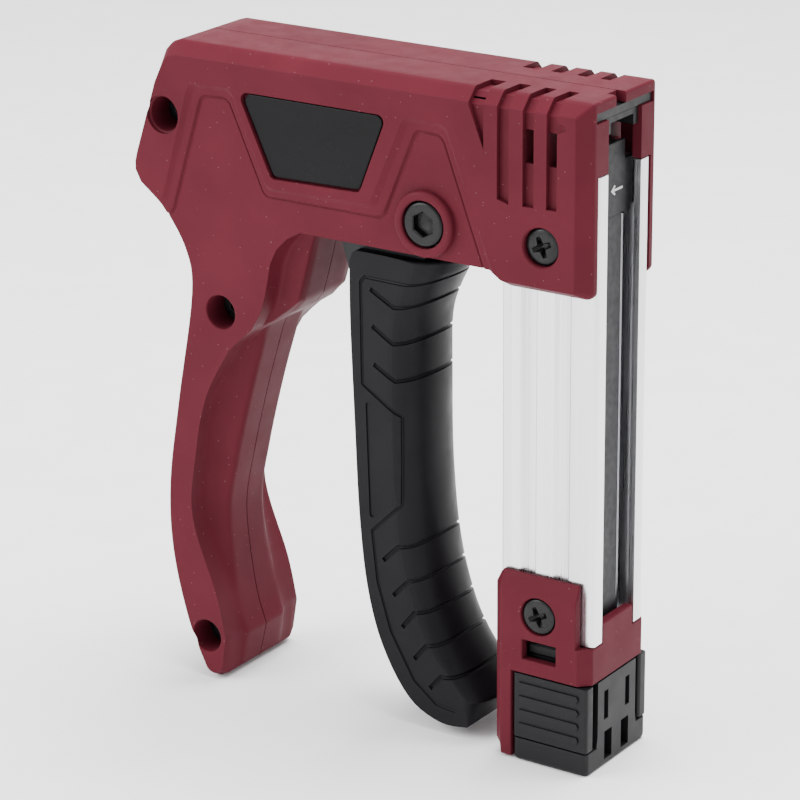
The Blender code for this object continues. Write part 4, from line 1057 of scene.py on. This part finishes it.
def cover_form():
    back = [(TOP_BACK, LEVER_TOP)] + back_curve
    front = front_curve + [(TOP_FRONT, LEVER_TOP)]
    rings = []
    for k in range(SLICES + 1):
        angle = math.pi * (k / SLICES - 0.5)
        y = LEVER_HALF * math.sin(angle)
        ring = [(x, y, z) for x, z in back]
        for i, (x, z) in enumerate(front):
            lean = min(1.0, 0.75 + 0.04 * i)
            ring.append((x - draw_back(y) * lean, y, z))
        rings.append(ring)
    return round_form(loft("lever_grip", rings), 1.2, 4)


# %% [markdown]
# ## Grooves in the lever
# The side has a border groove, three chevrons above and five below a sunken panel, and the chevrons
# run on round the front to the other side. A groove is a round rod sunk half into the surface and
# cut away. The rod's path is worked out on the lever's own surface, so it follows the curve.

# %% A rod along a path
def rod(name, path, radius, sides=8):
    """A round rod whose section keeps its turn as it follows the path."""
    points = [world(*p) for p in path]
    rings = []
    up = Vector((0, 0, 1))
    for i, point in enumerate(points):
        ahead = (points[min(i + 1, len(points) - 1)] - points[max(i - 1, 0)]).normalized()
        side = ahead.cross(up) if abs(ahead.z) < 0.9 else ahead.cross(Vector((1, 0, 0)))
        side.normalize()
        over = side.cross(ahead)
        if rings:
            turned_side = (rings[-1][1] - ahead * rings[-1][1].dot(ahead)).normalized()
            side, over = turned_side, turned_side.cross(ahead)
        rings.append((point, side, over))
    turns = [2 * math.pi * k / sides for k in range(sides)]
    return skin(name, [[point + (side * math.cos(a) + over * math.sin(a)) * radius * MM for a in turns]
                       for point, side, over in rings], merge=False)


# %% Paths of the grooves
GROOVE = 0.66
FINE_GROOVE = 0.5
FRONT_GROOVE = (-37.4, -35.4)
PANEL = [(-70.6, -71.2), (-62.2, -76.4), (-62.1, -98.0), (-69.6, -105.4)]
PANEL_DEPTH = 0.35


def round_front(z_side, z_front, steps=9):
    """Points from one flat side round the front to the other."""
    path = []
    for k in range(2 * steps + 1):
        angle = math.pi / 2 * (k / steps - 1)
        z = z_front + (z_side - z_front) * math.sin(angle) ** 2
        y = LEVER_HALF * math.sin(angle)
        path.append((front_x(z) - LEVER_NOSE * (1 - math.cos(angle)), y, z))
    return path


def chevron(start, vertex, z_front):
    """A groove that starts on one side, turns at its vertex, and goes round to the other side."""
    wrap = [point for point in round_front(vertex[1], z_front) if point[0] > vertex[0] + 0.4]
    steps = 4
    lead = [tuple(a + (b - a) * k / steps for a, b in zip(start, vertex)) for k in range(steps + 1)]
    near = [(x, -side_y(x, z), z) for x, z in lead]
    far = [(x, side_y(x, z), z) for x, z in reversed(lead)]
    return near + wrap + far


CHEVRONS = [((-68.7, -40.3), (-61.6, -44.1), -41.6), ((-68.2, -50.4), (-61.8, -54.3), -52.2),
            ((-67.8, -60.9), (-61.2, -64.6), -62.8), ((-65.4, -115.9), (-60.4, -111.0), -108.0),
            ((-62.2, -125.4), (-57.4, -120.3), -117.4), ((-59.4, -134.0), (-55.4, -128.9), -126.3),
            ((-55.6, -142.4), (-51.6, -137.6), -134.8), ((-50.6, -149.8), (-47.0, -145.6), -143.4)]
BORDER = [(-57.6, -37.4), (-70.3, -37.2), (-71.7, -38.8), (-71.5, -67.0), (-59.6, -74.5),
          (-59.5, -99.0), (-68.8, -108.0), (-67.2, -122.5), (-63.0, -136.0), (-55.6, -148.6),
          (-48.6, -154.0), (-42.6, -154.6)]


def border_path(side):
    path = []
    for a, b in zip(BORDER, BORDER[1:]):
        path += [tuple(p + (q - p) * k / 6 for p, q in zip(a, b)) for k in range(6)]
    return [(x, side * side_y(x, z), z) for x, z in path + [BORDER[-1]]]


# %% Cut the lever's cover
def lever_grip():
    piece = cover_form()
    inside = FRAME_HALF + 0.3
    thin = 3.0 + draw_back(inside)
    hollow = [(x - 6, z) for x, z in smooth(LEVER_BACK, 2)[:12]]
    hollow += [(x - thin, z) for x, z in smooth(LEVER_FRONT, 2)[6:]]
    hollow += [(TOP_FRONT - thin, LEVER_TOP + 1), (-81.2, LEVER_TOP + 1)]
    cutters = [prism("cutter", hollow, -inside, inside)]
    panel = rounded(PANEL, 0.8, 3)
    for side in (-1, 1):
        across = sorted((side * (LEVER_HALF - PANEL_DEPTH), side * (LEVER_HALF + 2)))
        cutters.append(prism("cutter", panel, *across))
    cutters += [rod("cutter", border_path(side), FINE_GROOVE) for side in (-1, 1)]
    cutters.append(rod("cutter", round_front(*FRONT_GROOVE), FINE_GROOVE))
    cutters += [rod("cutter", chevron(*each), GROOVE) for each in CHEVRONS]
    return crisp(cut(piece, *cutters), steps=True)


grip = lever_grip()
fit(grip, lever_black, "lever", "lever_cover")
print("lever cover", len(grip.data.polygons), "faces")

# %% [markdown]
# ## Inner steel parts
# The lever's frame, the hammer and its guides are pressed or sawn from steel, and their plain
# solids already have the right shape. They stay as they are and get a small bevel and a finish.
# A modifier on them changes how they are drawn, and leaves the solids themselves alone.

# %% Finish the solids that stay
KEPT = {"lever_frame": (black_steel, 0.3), "pivot_sleeve": (bare_steel, 0.2), "pivot_bush": (bare_steel, 0.2),
        "yoke_pin": (bare_steel, 0.2), "hammer": (bare_steel, 0.3), "driver_blade": (bare_steel, 0.1),
        "hammer_guide": (black_steel, 0.2), "hammer_bumper": (rubber_black, 0.5),
        "spring_anchor": (bare_steel, 0.2), "nose_top_plate": (black_steel, 0.3),
        "nose_guide": (black_steel, 0.3), "rail_pin": (bare_steel, 0.2), "spring_rod": (bare_steel, 0.1),
        "pusher": (cap_black, 0.3)}
for name, (finish, width) in KEPT.items():
    node = frame["nodes"][name]
    node.data.materials.clear()
    node.data.materials.append(finish)
    rounding = node.modifiers.new("rounding", "BEVEL")
    rounding.width = width * MM
    rounding.segments = 2
    rounding.limit_method = "ANGLE"
    rounding.angle_limit = math.radians(40)
print("kept:", sorted(KEPT))


# %% [markdown]
# ## Springs
# A spring is a round wire wound into a helix. The plain solids have only a few sides, so both
# springs are wound again, with a smooth wire and the same ends. On the real tool the pusher's spring
# shortens towards its lower end as the pusher runs down the rail; here it is wound once, at full length.

# %% Wind the springs
STEPS_PER_TURN = 28


def spring(name, radius, wire, low, high, turns, centre, along):
    steps = int(turns * STEPS_PER_TURN)
    path = []
    for i in range(steps + 1):
        turn = 2 * math.pi * turns * i / steps
        level = low + wire / 2 + (high - low - wire) * i / steps
        u, v = (radius - wire / 2) * math.cos(turn), (radius - wire / 2) * math.sin(turn)
        offset = {"X": (level, u, v), "Z": (u, v, level)}[along]
        path.append(tuple(c + o for c, o in zip(centre, offset)))
    piece = rod(name, path, wire / 2, 10)
    piece.data.shade_smooth()
    return piece


return_low, return_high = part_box("return_spring")
push_low, push_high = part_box("pusher_spring")
back_spring = spring("wound_return_spring", 4.5, 1.4, return_low.x / MM - FACE, return_high.x / MM - FACE, 11,
                     (0, 0, ANCHOR[1]), "X")
fit(back_spring, spring_steel, "housing", "return_spring")
push_spring = spring("wound_pusher_spring", 3.0, 0.7, push_low.z / MM - DECK, push_high.z / MM - DECK, 26,
                     (-12.0, 0, 0), "Z")
fit(push_spring, spring_steel, "drawer", "pusher_spring")
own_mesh(push_spring)

# %% [markdown]
# ## Studio
# A pale floor that runs up into a back wall, a large soft light on the left with a low one beneath
# it, a weak one on the right, a strong one overhead, and a bright even surround. The colours of
# plain plastic are read best in light without hard shadows.

# %% Floor and light
floor = bpy.data.meshes.new("studio_floor")
reach, bend, start, curve = 3.0, 24, 1.4, 0.8
profile = [(-reach, 0.0)]
for k in range(bend + 1):
    turn = math.pi / 2 * k / bend
    profile.append((start + curve * math.sin(turn), curve - curve * math.cos(turn)))
profile.append((start + curve, reach))
corners = [(side * reach, y, z) for y, z in profile for side in (-1, 1)]
faces = [(2 * i, 2 * i + 1, 2 * i + 3, 2 * i + 2) for i in range(len(profile) - 1)]
floor.from_pydata(corners, [], faces)
floor.shade_smooth()
studio_floor = bpy.data.objects.new("studio_floor", floor)
studio_floor.rotation_euler.z = math.radians(34)
bpy.context.scene.collection.objects.link(studio_floor)
paper = moulded("studio_paper", (0.90, 0.90, 0.90), (0.93, 0.93, 0.93), 0.8, 600, 0.00002)
floor.materials.append(paper)


def soft_light(name, place, size, power, target=(0, 0, 0.09)):
    lamp = bpy.data.lights.new(name, "AREA")
    lamp.shape = "RECTANGLE"
    lamp.size, lamp.size_y = size
    lamp.energy = power
    made = bpy.data.objects.new(name, lamp)
    made.location = place
    made.rotation_euler = (Vector(target) - Vector(place)).to_track_quat("-Z", "Y").to_euler()
    bpy.context.scene.collection.objects.link(made)


soft_light("key", (-0.85, -0.80, 0.75), (0.9, 0.7), 17.0)
soft_light("low", (-0.35, -1.20, 0.12), (0.9, 0.3), 3.2, (0, 0, 0.02))
soft_light("fill", (1.1, -0.45, 0.55), (0.6, 0.9), 1.0)
soft_light("top", (0.1, 0.25, 1.25), (0.9, 0.9), 38.0)
world_light = bpy.data.worlds.new("studio")
world_light.use_nodes = True
surround = world_light.node_tree.nodes["Background"]
surround.inputs["Color"].default_value = (1, 1, 1, 1)
surround.inputs["Strength"].default_value = 1.15
bpy.context.scene.world = world_light

# %% [markdown]
# ## Camera
# The camera stands in front of the tool's left side, a little above it, with a long lens, which
# keeps upright edges nearly parallel. Its directions come from its bearing, height and a slight
# roll.

# %% Camera
BEARING, HEIGHT, ROLL = math.radians(33.955), math.radians(19.686), math.radians(-0.454)
STAND = (0.477237, -0.704589, 0.391269)
behind = Vector((math.sin(BEARING) * math.cos(HEIGHT), -math.cos(BEARING) * math.cos(HEIGHT),
                 math.sin(HEIGHT)))
level = Vector((math.cos(BEARING), math.sin(BEARING), 0))
upright = behind.cross(level)
right_way = level * math.cos(ROLL) + upright * math.sin(ROLL)
up_way = upright * math.cos(ROLL) - level * math.sin(ROLL)
camera_data = bpy.data.cameras.new("camera")
camera_data.lens = 152.2
camera_data.sensor_width = 36.0
camera = bpy.data.objects.new("camera", camera_data)
camera.matrix_world = Matrix([*zip(right_way, up_way, behind, STAND), (0, 0, 0, 1)])
bpy.context.scene.collection.objects.link(camera)
bpy.context.scene.camera = camera

# %% Count the pieces made
print("pieces made:", len(made_pieces))
